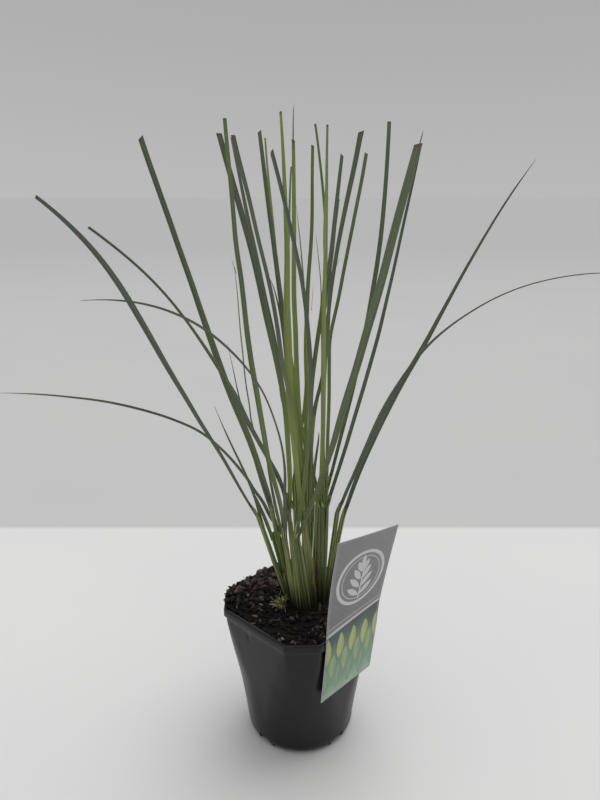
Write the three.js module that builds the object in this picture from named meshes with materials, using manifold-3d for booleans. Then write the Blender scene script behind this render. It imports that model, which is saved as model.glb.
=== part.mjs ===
// Potted dwarf pampas grass, in millimetres, +Z up.
// The origin is the centre of the pot's underside, on the surface that the pot stands on.
// -Y is the front, and +X is to the right of someone who looks at the front.
import * as THREE from 'three';
import { mergeVertices } from 'three/addons/utils/BufferGeometryUtils.js';
import Module from 'manifold-3d';

const wasm = await Module();
wasm.setup();

// Driving dimensions of the pot: a one litre square pot, 11 x 11 x 12 cm, on a round base
const POT_HEIGHT = 120;
const POT_TURN = 1.4;           // degrees that the pot is turned about Z, seen from the front
const WALL = 1.2;
const WALL_FOOT_Z = 8;          // where the straight wall starts, above the rounded base
const WALL_FOOT_RADIUS = 45.8;
const BASE_RADIUS = 40.5;
const SIDE_REACH = 53.5;        // axis to a wide side, just under the rim
const CORNER_REACH = 62.4;      // axis to a narrow corner facet, just under the rim
const CORNER_ROUNDING = 20;     // rounding between the sides, just under the rim
const RIM_PROUD = 1.6;
const RIM_BAND = 7;             // height of the rim's outer band
const RIM_EDGE = 1;             // rounding of the rim's outer edges
const FLOOR_Z = 3;              // underside of the pot's raised floor
const FLOOR_THICKNESS = 1.4;
const FOOT_WIDTH = 3;           // width of the ring that the pot stands on
const HUB_RADIUS = 9;
const NOTCH_HEIGHT = 8;
const NOTCH_HALF_ANGLE = 9;
const NOTCH_DEPTH = 9;
const LUG_RADIUS = 1.5;
const LUG_HEIGHT = 5;
const LUG_BESIDE_NOTCH = 1.6;   // degrees from a notch's edge to the middle of its lug
const WALL_RINGS = [36, 62, 88];  // heights of the wall's rings between foot and rim

// Compass angles of the twelve sectors in a quarter of the pot, closer together at its corners
const QUARTER_ANGLES = [0, 6.3, 12.6, 19, 27, 36, 45, 54, 63, 71, 77.4, 83.7];
const SECTORS = 4 * QUARTER_ANGLES.length;

// Driving dimensions of the soil
const CLEARANCE = 0.35;         // gap that each loose piece keeps to its neighbour
const SOIL_GAP = 0.9;           // gap between the soil and the pot's wall, whose facets differ
const SOIL_SIDE_TOP = 116;      // height of the soil where it meets the pot's wall
const SOIL_RINGS = [0.92, 0.77, 0.6, 0.42, 0.24];
const SOIL_ROUGHNESS = 1.1;
const HEAP_ANGLE = -138;        // compass angle of the heap that covers the rim
const HEAP_HALF_ANGLE = 44;
const HEAP_FADE = 22;           // degrees over which each end of the heap sinks to the edge
const HEAP_CLEARANCE = 0.45;    // gap between the rim's top and the heap
const HEAP_OVER_RIM = 1.6;
const CHIP_COUNT = 28;
const CHIP_REACH = [0.1, 0.86]; // squared shares of the way to the wall where chips lie
const SEED = 20;

// Driving dimensions of the grass
const FOOT_Z = 98;              // where the stems end in the soil
const HOLE_TOP_Z = 128;
const SHEATH_SIDES = 8;
const SHEATH_STEPS = 5;
const SHEATH_HALF = 1.75;       // half width of every sheath at its two ends
const SHEATH_DEPTH = 1.5;       // half depth at its ends
const SHEATH_MIDDLE_DEPTH = 1.7;
const HOLE_STEPS = 1;
const HOLE_GAP = 0.5;
const BLADE_STEP = 30;          // length of blade between two sections
const BLADE_THICKNESS = 0.7;
const BLADE_KEEL = 0.2;         // depth of the fold, as a share of the width

// Driving dimensions of the plant label
const LABEL_WIDTH = 64;
const LABEL_THICKNESS = 0.7;
const TONGUE_WIDTH = 22;
const TONGUE_END_Z = 96;
const TONGUE_START_Z = 129;
const LABEL_SIDE = POT_TURN + 45;

// The label from its lower edge up: height, distance from the pot's axis, place along the
// pot's side, the compass angle that it faces, and the roll of its edge, in degrees
const LABEL_ROWS = [
  [62, 50.8, 1.2, 48, -2],
  [80, 52.6, 1.5, 47.4, -1],
  [97, 54.3, 1.7, 46.8, 0],
  [112, 56, 1.6, 46.4, 0],
  [120, 56.3, 1.5, 46.2, 0],
  [129, 57.4, 1, 45.6, -1],
  [143, 60.1, -0.6, 44.6, -2.5],
  [163, 64.6, -2.9, 43.2, -4],
  [188, 70.6, -5.3, 42, -5.2],
  [212, 76.6, -7.4, 41.2, -6],
];

// Driving dimensions of the moss and of the cut stub of an old stem
const MOSS_PLACE = [-18.5, -8.5];
const MOSS_CORE = 2.6;
const MOSS_DEPTH = 6;
const MOSS_SPINES = 20;
const MOSS_SPINE_LENGTH = 7;
const MOSS_SPINE_RADIUS = 1.1;
const GOLDEN_ANGLE = 137.5;     // degrees between one leaf of the moss and the next
const STUB_PLACE = [16, -12.5];
const STUB_RADIUS = 1.2;
const STUB_HEIGHT = 6;
const STUB_DEPTH = 8;

// Each tiller: where its stem leaves the soil, where its sheath ends, the sheath's half width,
// and its blades. A blade passes through four points, evenly spaced from sheath to tip, and has
// a width at each. Its face looks along two compass angles, at the sheath and at the tip, with 0
// at the front.
const TILLERS = [
  {
    foot: [-10, 1], top: [-36, -9, 207], half: 1.9,
    blades: [
      {
        through: [[-34, -8, 200], [-78, -18, 289], [-114, -33, 375], [-167, -55, 447]],
        widths: [2.2, 3.9, 4.9, 2.4], face: [-30, -10],
      },
      {
        through: [[-31, -7, 191], [-42, -12, 230], [-53, -20, 265], [-63, -28, 300]],
        widths: [2.2, 1.9, 1.4, 0.5], face: [10, 30],
      },
    ],
  },
  {
    foot: [-7, 7], top: [-24, 3, 205], half: 3.1,
    blades: [
      {
        through: [[-22.3, 4.3, 194.3], [-51, 7, 297], [-84, 12, 392], [-115, 20, 487]],
        widths: [3.8, 4.8, 4.2, 4], face: [-20, 15],
      },
      {
        through: [[-21.6, 4.6, 191], [-37, 18, 260], [-49, 33, 291], [-59, 50, 322]],
        widths: [1.9, 1.8, 1.4, 0.5], face: [30, 60],
      },
    ],
  },
  {
    foot: [-4.5, -6], top: [-12.6, -9, 190], half: 2.3,
    blades: [
      {
        through: [[-12.4, -9, 178], [-17, -27, 284], [-60, -55, 359], [-132, -95, 387]],
        widths: [3.9, 1.9, 2.2, 0.7], face: [-35, -20],
      },
      {
        through: [[-13, -9, 184], [-30, -20, 297], [-41, -37, 395], [-46, -62, 492]],
        widths: [3, 3.9, 3.4, 2.4], face: [-10, 25],
      },
    ],
  },
  {
    foot: [0, -9.5], top: [-9.5, -8, 208], half: 2.2,
    blades: [
      {
        through: [[-8.5, -8, 196], [-36, -9, 282], [-82, -17, 361], [-143, -30, 427]],
        widths: [3.4, 3.6, 2, 1.8], face: [-30, 0],
      },
      {
        through: [[-9.2, -7.6, 202.3], [-15, -15, 319], [-31, -22, 403], [-53, -30, 486]],
        widths: [3.6, 4.6, 5, 3.7], face: [-15, 20],
      },
    ],
  },
  {
    foot: [6, -11.5], top: [-3.6, -14, 195], half: 2.5,
    blades: [
      {
        through: [[-3.5, -14, 187], [7, -23, 303], [1, -43, 390], [-17, -75, 472]],
        widths: [3, 3.9, 3.4, 3.2], face: [20, 60],
      },
      {
        through: [[-2.6, -14.3, 185], [33, -23, 300], [54, -40, 391], [70, -70, 477]],
        widths: [3.2, 5.5, 5.7, 4.7], face: [25, -5],
      },
    ],
  },
  {
    foot: [11.5, -8], top: [1.5, -9.5, 220], half: 2.2,
    blades: [
      {
        through: [[1, -9, 212], [-8, -29, 320], [-23, -58, 403], [-38, -95, 480]],
        widths: [3, 3.8, 3.4, 3.4], face: [0, 30],
      },
      {
        through: [[1.5, -9.5, 206], [-8, -22, 311], [-9.5, -34, 404], [-12, -50, 497]],
        widths: [3.4, 5.2, 3.6, 1.8], face: [-10, -35],
      },
    ],
  },
  {
    foot: [17, -4], top: [19, -6, 232], half: 3.6,
    blades: [
      {
        through: [[17, -5.2, 207], [-0.5, -6, 314], [-4.5, -10, 399], [-5, -15, 483]],
        widths: [3.2, 3.7, 3.3, 2.2], face: [-15, 10],
      },
      {
        through: [[21, -4, 226], [24, -4, 318], [33, 8, 400], [49, 30, 477]],
        widths: [2.6, 2.8, 3.1, 3.6], face: [0, 40],
      },
      {
        through: [[17, -5, 216], [18, -10, 312], [24, -18, 400], [39, -30, 487]],
        widths: [3.2, 2.9, 2.8, 3.6], face: [10, -25],
      },
      {
        through: [[16, -4, 216], [17, -22, 320], [16, -54, 406], [14.5, -100, 485]],
        widths: [3.4, 3.4, 2.8, 1.3], face: [0, 20],
      },
      {
        through: [[20.5, -5, 207], [47, 4, 302], [69, 10, 391], [86, 18, 482]],
        widths: [2.6, 3.1, 2.6, 2.1], face: [-10, 25],
      },
    ],
  },
  {
    foot: [21, 3], top: [31, 2, 206], half: 1.9,
    blades: [
      {
        through: [[30, 2, 199], [66, -4, 294], [123, -14, 368], [232, -30, 396]],
        widths: [3.4, 3.2, 1.2, 0.6], face: [30, 5],
      },
    ],
  },
  {
    foot: [22, 10], top: [36, 10, 198], half: 1.9,
    blades: [
      {
        through: [[35, 10, 190], [72, 15, 293], [123, 26, 384], [177, 40, 473]],
        widths: [3.6, 4.7, 2.5, 0.8], face: [20, -15],
      },
    ],
  },
  {
    foot: [-2.5, 0.5], top: [-3, 2, 222], half: 2.2,
    blades: [
      {
        through: [[-3, 2, 210], [-9, 8, 316], [-18, 17, 404], [-30, 28, 492]],
        widths: [2.8, 3.6, 4, 3.6], face: [0, -40],
      },
      {
        through: [[-3, 2, 200], [-37, 24, 275], [-48, 47, 336], [-57, 75, 395]],
        widths: [2, 1.6, 1.9, 1.2], face: [40, 80],
      },
    ],
  },
  {
    foot: [-2, 13], top: [-5, 12, 235], half: 2.1,
    blades: [
      {
        through: [[-5, 12, 222], [-21, 27, 328], [-38, 52, 410], [-55, 80, 491]],
        widths: [3.2, 4, 3.6, 2.4], face: [20, 50],
      },
      {
        through: [[-5, 13, 222], [2, 52, 313], [2, 100, 376], [-4, 150, 438]],
        widths: [2.6, 2.4, 1.6, 0.5], face: [170, 200],
      },
    ],
  },
  {
    foot: [4, -4], top: [4, 0, 236], half: 2.2,
    blades: [
      {
        through: [[4, 0, 222], [3, 10, 324], [7, 25, 404], [9, 40, 483]],
        widths: [3, 3.4, 2.8, 2.2], face: [-30, 10],
      },
      {
        through: [[4, 0, 218], [-9, 26, 329], [-20, 58, 411], [-29, 95, 492]],
        widths: [3, 3.4, 3, 2.1], face: [10, 50],
      },
    ],
  },
  {
    foot: [5, 4], top: [10, 8, 232], half: 2.1,
    blades: [
      {
        through: [[9, 8, 220], [16, 28, 330], [20, 55, 417], [12, 85, 502]],
        widths: [2.8, 3, 2.2, 1.7], face: [-40, 0],
      },
      {
        through: [[9, 8, 214], [-2, 42, 315], [-9, 80, 394], [-8, 120, 471]],
        widths: [2.8, 2.7, 2.2, 1.5], face: [150, 190],
      },
    ],
  },
  {
    foot: [12, 8], top: [22, 13, 222], half: 2.1,
    blades: [
      {
        through: [[21.5, 13, 214], [48.5, 32, 324], [64, 58, 414], [72, 88, 504]],
        widths: [2.6, 3.8, 3.6, 3.3], face: [20, -30],
      },
      {
        through: [[21, 14, 206], [16, 38, 313], [25, 73, 397], [35, 112, 480]],
        widths: [3.2, 3.6, 3.6, 3.2], face: [-10, 30],
      },
    ],
  },
  {
    foot: [-9, 15], top: [-14, 17, 178], half: 2.1,
    blades: [
      {
        through: [[-14.3, 16.8, 170.3], [-64, 19, 248], [-147, 22, 287], [-243, 26, 294]],
        widths: [5, 2.6, 2, 0.7], face: [-40, 10],
      },
    ],
  },
  {
    foot: [6, 14], top: [10, 22, 214], half: 1.9,
    blades: [
      {
        through: [[10, 21, 200], [14, 60, 290], [24, 112, 352], [38, 172, 388]],
        widths: [3, 2.8, 2.2, 0.7], face: [175, 190],
      },
      {
        through: [[10, 21, 196], [17, 42, 290], [24, 68, 372], [32, 98, 444]],
        widths: [3, 3.2, 2.6, 1.6], face: [160, 140],
      },
    ],
  },
  {
    foot: [11, 1.5], top: [14, 2, 224], half: 2,
    blades: [
      {
        through: [[14, 2, 210], [13, 9, 306], [15, 19, 394], [19, 30, 470]],
        widths: [2.8, 3.2, 2.6, 1.4], face: [35, 70],
      },
    ],
  },
];

// Finishes
const plastic = new THREE.MeshStandardMaterial({ color: 0x2f3232, roughness: 0.42, metalness: 0 });
const peat = new THREE.MeshStandardMaterial({ color: 0x33241d, roughness: 0.95, metalness: 0 });
const leaf = new THREE.MeshStandardMaterial({ color: 0x5c6f3c, roughness: 0.55, metalness: 0 });
const moss = new THREE.MeshStandardMaterial({ color: 0xb4b352, roughness: 0.8, metalness: 0 });
const straw = new THREE.MeshStandardMaterial({ color: 0xa79f86, roughness: 0.8, metalness: 0 });
const card = new THREE.MeshStandardMaterial({ color: 0x9aa39a, roughness: 0.35, metalness: 0 });

const radians = THREE.MathUtils.degToRad;
const lerp = THREE.MathUtils.lerp;
const smoothstep = THREE.MathUtils.smoothstep;

// A seeded random number from 0 to 1
function makeRandom(seed) {
  let state = seed;
  return () => {
    state = (state * 1664525 + 1013904223) % 4294967296;
    return state / 4294967296;
  };
}

// A point at a compass angle, with 0 at the front and 90 at the right
function compass(degrees, radius, z) {
  const angle = radians(degrees);
  return new THREE.Vector3(radius * Math.sin(angle), -radius * Math.cos(angle), z);
}

// A closed geometry through rings of equally many points, with a flat end on each side
function loft(rings) {
  const sides = rings[0].length;
  const positions = rings.flat().flatMap((point) => point.toArray());
  const index = [];
  for (let ring = 0; ring < rings.length - 1; ring += 1) {
    const below = ring * sides;
    const above = below + sides;
    for (let side = 0; side < sides; side += 1) {
      const next = (side + 1) % sides;
      index.push(below + side, below + next, above + next);
      index.push(below + side, above + next, above + side);
    }
  }
  const closeEnd = (ring, first, upward) => {
    const sum = ring.reduce((total, point) => total.add(point), new THREE.Vector3());
    const middle = positions.length / 3;
    positions.push(...sum.divideScalar(sides).toArray());
    for (let side = 0; side < sides; side += 1) {
      const next = (side + 1) % sides;
      if (upward) index.push(middle, first + side, first + next);
      else index.push(middle, first + next, first + side);
    }
  };
  closeEnd(rings[0], 0, false);
  closeEnd(rings[rings.length - 1], (rings.length - 1) * sides, true);
  const geometry = new THREE.BufferGeometry();
  geometry.setAttribute('position', new THREE.Float32BufferAttribute(positions, 3));
  geometry.setIndex(index);
  return geometry;
}

// The solid of a closed geometry, for cutting and joining
function solid(geometry) {
  const bare = geometry.clone();
  bare.deleteAttribute('normal');
  bare.deleteAttribute('uv');
  const merged = mergeVertices(bare, 1e-5);
  return new wasm.Manifold(new wasm.Mesh({
    numProp: 3,
    vertProperties: new Float32Array(merged.attributes.position.array),
    triVerts: new Uint32Array(merged.index.array),
  }));
}

function geometryOf(body) {
  const mesh = body.getMesh();
  const geometry = new THREE.BufferGeometry();
  const positions = new Float32Array(mesh.vertProperties);
  geometry.setAttribute('position', new THREE.BufferAttribute(positions, 3));
  geometry.setIndex(new THREE.BufferAttribute(new Uint32Array(mesh.triVerts), 1));
  geometry.computeVertexNormals();
  return geometry;
}

// The largest body of a solid, without the loose scraps that a cut leaves
function largest(body) {
  return body.decompose().reduce((best, piece) => (piece.volume() > best.volume() ? piece : best));
}

const group = new THREE.Group();

function addMesh(name, body, material) {
  const mesh = new THREE.Mesh(geometryOf(body), material);
  mesh.name = name;
  group.add(mesh);
}

// Pot: a square with rounded corners and a narrow facet across each corner, which turns
// into a circle at the base. The radius of its outside, grown by an offset.
function wallRadius(degrees, z, offset) {
  const rise = THREE.MathUtils.clamp((z - WALL_FOOT_Z) / (POT_HEIGHT - RIM_BAND - WALL_FOOT_Z), 0, 1);
  const side = lerp(WALL_FOOT_RADIUS, SIDE_REACH, rise) + offset;
  const corner = lerp(WALL_FOOT_RADIUS, CORNER_REACH, rise) + offset;
  const rounding = lerp(WALL_FOOT_RADIUS, CORNER_ROUNDING, rise * rise) + offset;
  const fromCorner = radians(THREE.MathUtils.euclideanModulo(degrees - POT_TURN + 45, 90) - 45);
  const fromSide = radians(45) - Math.abs(fromCorner);
  const centre = side - rounding;
  const along = centre * (Math.cos(fromSide) + Math.sin(fromSide));
  const onFlat = side * Math.tan(fromSide) <= centre;
  const rounded = along + Math.sqrt(along * along - 2 * centre * centre + rounding * rounding);
  const square = onFlat ? side / Math.cos(fromSide) : rounded;
  return Math.min(square, corner / Math.cos(fromCorner));
}

function potRing(z, offset) {
  const ring = [];
  for (let sector = 0; sector < SECTORS; sector += 1) {
    const degrees = POT_TURN + sectorAngle(sector);
    ring.push(compass(degrees, wallRadius(degrees, z, offset), z));
  }
  return ring;
}

// Compass angle of a sector, from the middle of a corner
function sectorAngle(sector) {
  const perCorner = QUARTER_ANGLES.length;
  const cornerNumber = Math.floor(sector / perCorner);
  return cornerNumber * 90 + QUARTER_ANGLES[sector % perCorner];
}

function roundRing(radius, z) {
  const ring = [];
  for (let sector = 0; sector < SECTORS; sector += 1) {
    ring.push(compass(POT_TURN + sectorAngle(sector), radius, z));
  }
  return ring;
}

function makePot() {
  const bandZ = POT_HEIGHT - RIM_BAND;
  const floorTop = FLOOR_Z + FLOOR_THICKNESS;
  const rings = [
    roundRing(HUB_RADIUS, 0),
    roundRing(HUB_RADIUS, FLOOR_Z),
    roundRing(BASE_RADIUS - FOOT_WIDTH, FLOOR_Z),
    roundRing(BASE_RADIUS - FOOT_WIDTH, 0),
    roundRing(BASE_RADIUS - 0.8, 0),
    roundRing(lerp(BASE_RADIUS, WALL_FOOT_RADIUS, 0.55), WALL_FOOT_Z * 0.3),
    potRing(WALL_FOOT_Z, 0),
    ...WALL_RINGS.map((z) => potRing(z, 0)),
    potRing(bandZ - 1, 0),
    potRing(bandZ, RIM_PROUD - 0.4),
    potRing(bandZ + RIM_EDGE, RIM_PROUD),
    potRing(POT_HEIGHT - RIM_EDGE, RIM_PROUD),
    potRing(POT_HEIGHT, RIM_PROUD - RIM_EDGE),
    potRing(POT_HEIGHT, -WALL),
    potRing(bandZ, -WALL),
    ...WALL_RINGS.toReversed().map((z) => potRing(z, -WALL)),
    potRing(WALL_FOOT_Z, -WALL),
    roundRing(BASE_RADIUS - WALL, floorTop),
  ];
  let pot = solid(loft(rings));
  for (let side = 0; side < 4; side += 1) {
    const middle = POT_TURN + 45 + 90 * side;
    pot = pot.subtract(notch(middle));
    for (const edge of [-1, 1]) {
      pot = pot.add(lug(middle + edge * (NOTCH_HALF_ANGLE + LUG_BESIDE_NOTCH)));
    }
  }
  return largest(pot);
}

// A drainage notch at the foot of a wide side: it cuts the wall and the edge of the floor
function notch(degrees) {
  const inner = BASE_RADIUS - NOTCH_DEPTH;
  const outer = WALL_FOOT_RADIUS + 5;
  const rings = [];
  for (const [z, share] of [[-2, 1], [NOTCH_HEIGHT * 0.6, 1], [NOTCH_HEIGHT, 0.7]]) {
    const ring = [];
    for (const step of [-1, -0.5, 0, 0.5, 1]) {
      ring.push(compass(degrees + step * share * NOTCH_HALF_ANGLE, outer, z));
    }
    for (const step of [1, 0.5, 0, -0.5, -1]) {
      ring.push(compass(degrees + step * share * NOTCH_HALF_ANGLE, inner, z));
    }
    rings.push(ring);
  }
  return solid(loft(rings));
}

// A small round lug beside a notch, on the outside of the foot
function lug(degrees) {
  const geometry = new THREE.CylinderGeometry(LUG_RADIUS * 0.8, LUG_RADIUS, LUG_HEIGHT, 6);
  geometry.rotateX(Math.PI / 2);
  const place = compass(degrees, BASE_RADIUS + 1.2, LUG_HEIGHT / 2 + 0.4);
  geometry.translate(place.x, place.y, place.z);
  return solid(geometry);
}

// Soil: it fills the pot, and is heaped at the back left, where it covers the rim
function soilHeight(x, y) {
  const back = 7 * Math.exp(-((x + 36) ** 2 + (y - 32) ** 2) / 700);
  const left = 4 * Math.exp(-((x + 52) ** 2 + (y - 4) ** 2) / 300);
  const front = -1.2 * Math.exp(-((x - 2) ** 2 + (y + 45) ** 2) / 500);
  return SOIL_SIDE_TOP + 1 + back + left + front;
}

// How far the soil covers the rim at a compass angle, from 0 to 1
function rimCover(degrees) {
  const away = Math.abs(THREE.MathUtils.euclideanModulo(degrees - HEAP_ANGLE + 180, 360) - 180);
  return 1 - smoothstep(away, HEAP_HALF_ANGLE, HEAP_HALF_ANGLE + HEAP_FADE);
}

// A ring at the soil's edge, between its place inside the rim and its place on the heap.
// It first rises above the rim and only then spreads over it.
function edgeRing(inside, heaped) {
  const ring = [];
  for (let sector = 0; sector < SECTORS; sector += 1) {
    const degrees = POT_TURN + sectorAngle(sector);
    const rise = Math.min(1, 2 * rimCover(degrees));
    const spread = Math.max(0, 2 * rimCover(degrees) - 1);
    const offset = lerp(inside.offset, heaped.offset, spread);
    const radius = wallRadius(degrees, POT_HEIGHT, offset);
    ring.push(compass(degrees, radius, lerp(inside.z, heaped.z, rise)));
  }
  return ring;
}

function makeSoil(holes) {
  const random = makeRandom(SEED);
  const inset = -WALL - SOIL_GAP;
  const bottomZ = FLOOR_Z + FLOOR_THICKNESS + CLEARANCE;
  const overRim = POT_HEIGHT + HEAP_CLEARANCE;
  const rings = [
    roundRing(BASE_RADIUS - NOTCH_DEPTH - 1, bottomZ),
    roundRing(BASE_RADIUS - NOTCH_DEPTH - 1, NOTCH_HEIGHT + 1),
    potRing(NOTCH_HEIGHT + 2, inset),
    ...WALL_RINGS.map((z) => potRing(z, inset)),
    potRing(POT_HEIGHT - RIM_BAND, inset),
    edgeRing(
      { z: SOIL_SIDE_TOP - 0.6, offset: inset },
      { z: overRim, offset: inset },
    ),
    edgeRing(
      { z: SOIL_SIDE_TOP - 0.3, offset: inset - 0.2 },
      { z: overRim + 0.2, offset: RIM_PROUD - 0.4 },
    ),
    edgeRing(
      { z: SOIL_SIDE_TOP, offset: inset - 0.5 },
      { z: overRim + HEAP_OVER_RIM, offset: 0 },
    ),
  ];
  const edge = rings[rings.length - 1];
  for (const share of SOIL_RINGS) {
    rings.push(edge.map((point) => {
      const x = point.x * share + (random() - 0.5) * 2;
      const y = point.y * share + (random() - 0.5) * 2;
      const lump = (random() - 0.5) * 2 * SOIL_ROUGHNESS;
      return new THREE.Vector3(x, y, soilHeight(x, y) + lump);
    }));
  }
  let soil = solid(loft(rings));
  soil = soil.add(wasm.Manifold.union(makeChips(random)));
  return largest(soil.subtract(wasm.Manifold.union(holes)));
}

// Bark chips: tilted flat lumps, sunk to about half their depth
function makeChips(random) {
  const chips = [];
  while (chips.length < CHIP_COUNT) {
    const degrees = random() * 360;
    const reach = Math.sqrt(lerp(CHIP_REACH[0], CHIP_REACH[1], random()));
    const radius = wallRadius(degrees, POT_HEIGHT, 0) * reach;
    const place = compass(degrees, radius, 0);
    const size = new THREE.Vector3(lerp(4, 9, random()), lerp(3, 5.5, random()), lerp(2, 3.2, random()));
    const chip = new THREE.CylinderGeometry(0.32, 0.5, 1, 5);
    chip.rotateX(Math.PI / 2);
    chip.scale(size.x, size.y, size.z);
    chip.rotateX((random() - 0.5) * 0.9);
    chip.rotateY((random() - 0.5) * 0.9);
    chip.rotateZ(random() * Math.PI);
    chip.translate(place.x, place.y, soilHeight(place.x, place.y) + 0.3);
    chips.push(solid(chip));
  }
  return chips;
}

// Grass
function vector(numbers) {
  return new THREE.Vector3(...numbers);
}

// The cubic curve through four points at its start, its thirds and its end
function curveThrough(points) {
  const [start, first, second, end] = points.map(vector);
  const handle = (a, b, c, d) => a.clone().multiplyScalar(-5).addScaledVector(b, 18)
    .addScaledVector(c, -9).addScaledVector(d, 2).divideScalar(6);
  const leaving = handle(start, first, second, end);
  const arriving = handle(end, second, first, start);
  return new THREE.CubicBezierCurve3(start, leaving, arriving, end);
}

// The directions across and out of a strip that runs along a tangent and faces a compass angle
function stripFrame(tangent, degrees) {
  const across = new THREE.Vector3().crossVectors(compass(degrees, 1, 0), tangent).normalize();
  const out = new THREE.Vector3().crossVectors(tangent, across).normalize();
  return { across, out };
}

// The width of a blade at a share of its length, between the widths at its four points
function bladeWidth(widths, share) {
  const third = Math.min(2, Math.floor(share * 3));
  return lerp(widths[third], widths[third + 1], smoothstep(share * 3 - third, 0, 1));
}

// A blade: a strip folded along its keel
function makeBlade(blade) {
  const curve = curveThrough(blade.through);
  const steps = Math.round(curve.getLength() / BLADE_STEP);
  const rings = [];
  for (let step = 0; step <= steps; step += 1) {
    const t = step / steps;
    const width = bladeWidth(blade.widths, t);
    const { across, out } = stripFrame(curve.getTangent(t), lerp(blade.face[0], blade.face[1], t));
    const fold = width * BLADE_KEEL;
    const centre = curve.getPoint(t);
    const place = (u, v) => centre.clone().addScaledVector(across, u).addScaledVector(out, v);
    rings.push([
      place(-width / 2, fold),
      place(0, 0),
      place(width / 2, fold),
      place(width / 2, fold + BLADE_THICKNESS),
      place(0, BLADE_THICKNESS),
      place(-width / 2, fold + BLADE_THICKNESS),
    ]);
  }
  return solid(loft(rings));
}

// A sheath: a flattened tube from the foot, widest at its middle, or the hole that it stands in
function makeSheath(tiller, gap, topZ, steps = SHEATH_STEPS) {
  const foot = new THREE.Vector3(tiller.foot[0], tiller.foot[1], SOIL_SIDE_TOP);
  const top = vector(tiller.top);
  const at = (z) => foot.clone().lerp(top, (z - foot.z) / (top.z - foot.z));
  const startZ = FOOT_Z - gap;
  const rings = [];
  for (let step = 0; step <= steps; step += 1) {
    const t = step / steps;
    const z = lerp(startZ, topZ ?? top.z, t);
    const along = (z - FOOT_Z) / (top.z - FOOT_Z);
    const bulge = Math.sin(Math.PI * THREE.MathUtils.clamp(along * 1.15, 0, 1));
    const half = lerp(SHEATH_HALF, tiller.half, bulge) + gap;
    const depth = lerp(SHEATH_DEPTH, SHEATH_MIDDLE_DEPTH, bulge) * lerp(1, 0.8, along) + gap;
    const { across, out } = stripFrame(new THREE.Vector3(0, 0, 1), tiller.blades[0].face[0]);
    const centre = at(z);
    const ring = [];
    for (let side = 0; side < SHEATH_SIDES; side += 1) {
      const angle = (2 * Math.PI * side) / SHEATH_SIDES;
      const point = centre.clone().addScaledVector(across, half * Math.cos(angle));
      ring.push(point.addScaledVector(out, depth * Math.sin(angle)));
    }
    rings.push(ring);
  }
  return solid(loft(rings));
}

function makeTiller(tiller) {
  const parts = [makeSheath(tiller, 0), ...tiller.blades.map(makeBlade)];
  return wasm.Manifold.union(parts);
}

// Label: a thin card that leans on the rim, held by a tongue that hooks over the rim
function labelRow([z, reach, along, facing, roll], halfWidth, halfThickness) {
  const side = radians(LABEL_SIDE);
  const middle = compass(LABEL_SIDE, reach, z);
  middle.add(new THREE.Vector3(Math.cos(side), Math.sin(side), 0).multiplyScalar(along));
  const face = radians(facing);
  const tilt = radians(roll);
  const flat = new THREE.Vector3(Math.cos(face), Math.sin(face), 0);
  const across = flat.multiplyScalar(Math.cos(tilt)).setZ(Math.sin(tilt));
  const out = compass(facing, 1, 0);
  const place = (u, v) => middle.clone().addScaledVector(across, u).addScaledVector(out, v);
  return [
    place(-halfWidth, halfThickness),
    place(halfWidth, halfThickness),
    place(halfWidth, -halfThickness),
    place(-halfWidth, -halfThickness),
  ];
}

// The tongue's path, from inside the pot up, over the rim and into the card
function tonguePath() {
  const inside = (z) => {
    const rise = (z - WALL_FOOT_Z) / (POT_HEIGHT - RIM_BAND - WALL_FOOT_Z);
    return lerp(WALL_FOOT_RADIUS, SIDE_REACH, Math.min(1, rise)) - WALL - LABEL_THICKNESS;
  };
  const card = (row) => [row[1], row[0]];
  return [
    [inside(TONGUE_END_Z), TONGUE_END_Z],
    [inside(POT_HEIGHT - RIM_BAND), POT_HEIGHT - RIM_BAND],
    [inside(POT_HEIGHT), POT_HEIGHT + 0.2],
    [inside(POT_HEIGHT) + 0.6, POT_HEIGHT + 1.2],
    [SIDE_REACH + 0.6, POT_HEIGHT + 1.4],
    [SIDE_REACH + 2.2, POT_HEIGHT + 3],
    card(LABEL_ROWS.find((row) => row[0] === TONGUE_START_Z)),
  ];
}

function makeTongue(gap) {
  const path = tonguePath().map(([reach, z]) => new THREE.Vector2(reach, z));
  const half = LABEL_THICKNESS / 2 + gap;
  const rings = path.map((point, index) => {
    const before = path[Math.max(0, index - 1)];
    const after = path[Math.min(path.length - 1, index + 1)];
    const run = after.clone().sub(before).normalize();
    const start = index === 0 ? -gap : 0;
    const ring = [];
    for (const [u, v] of [[-1, 1], [1, 1], [1, -1], [-1, -1]]) {
      const reach = point.x + run.y * half * v + run.x * start;
      const z = point.y - run.x * half * v + run.y * start;
      const along = LABEL_ROWS[4][2] + u * (TONGUE_WIDTH / 2 + gap);
      const side = radians(LABEL_SIDE);
      const corner = compass(LABEL_SIDE, reach, z);
      corner.add(new THREE.Vector3(Math.cos(side), Math.sin(side), 0).multiplyScalar(along));
      ring.push(corner);
    }
    return ring;
  });
  return solid(loft(rings));
}

function makeLabel() {
  const rings = LABEL_ROWS.map((row) => labelRow(row, LABEL_WIDTH / 2, LABEL_THICKNESS / 2));
  return solid(loft(rings)).add(makeTongue(0));
}

// Moss: a tuft of small pointed leaves on a core, which stands in a hole in the soil
function mossPlug(gap) {
  const radius = MOSS_CORE * 0.7 + gap;
  const plug = new THREE.CylinderGeometry(radius, radius, MOSS_DEPTH * 2 + 2 * gap, 8);
  plug.rotateX(Math.PI / 2);
  plug.translate(...MOSS_PLACE, soilHeight(...MOSS_PLACE) - MOSS_DEPTH / 2);
  return plug;
}

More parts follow.
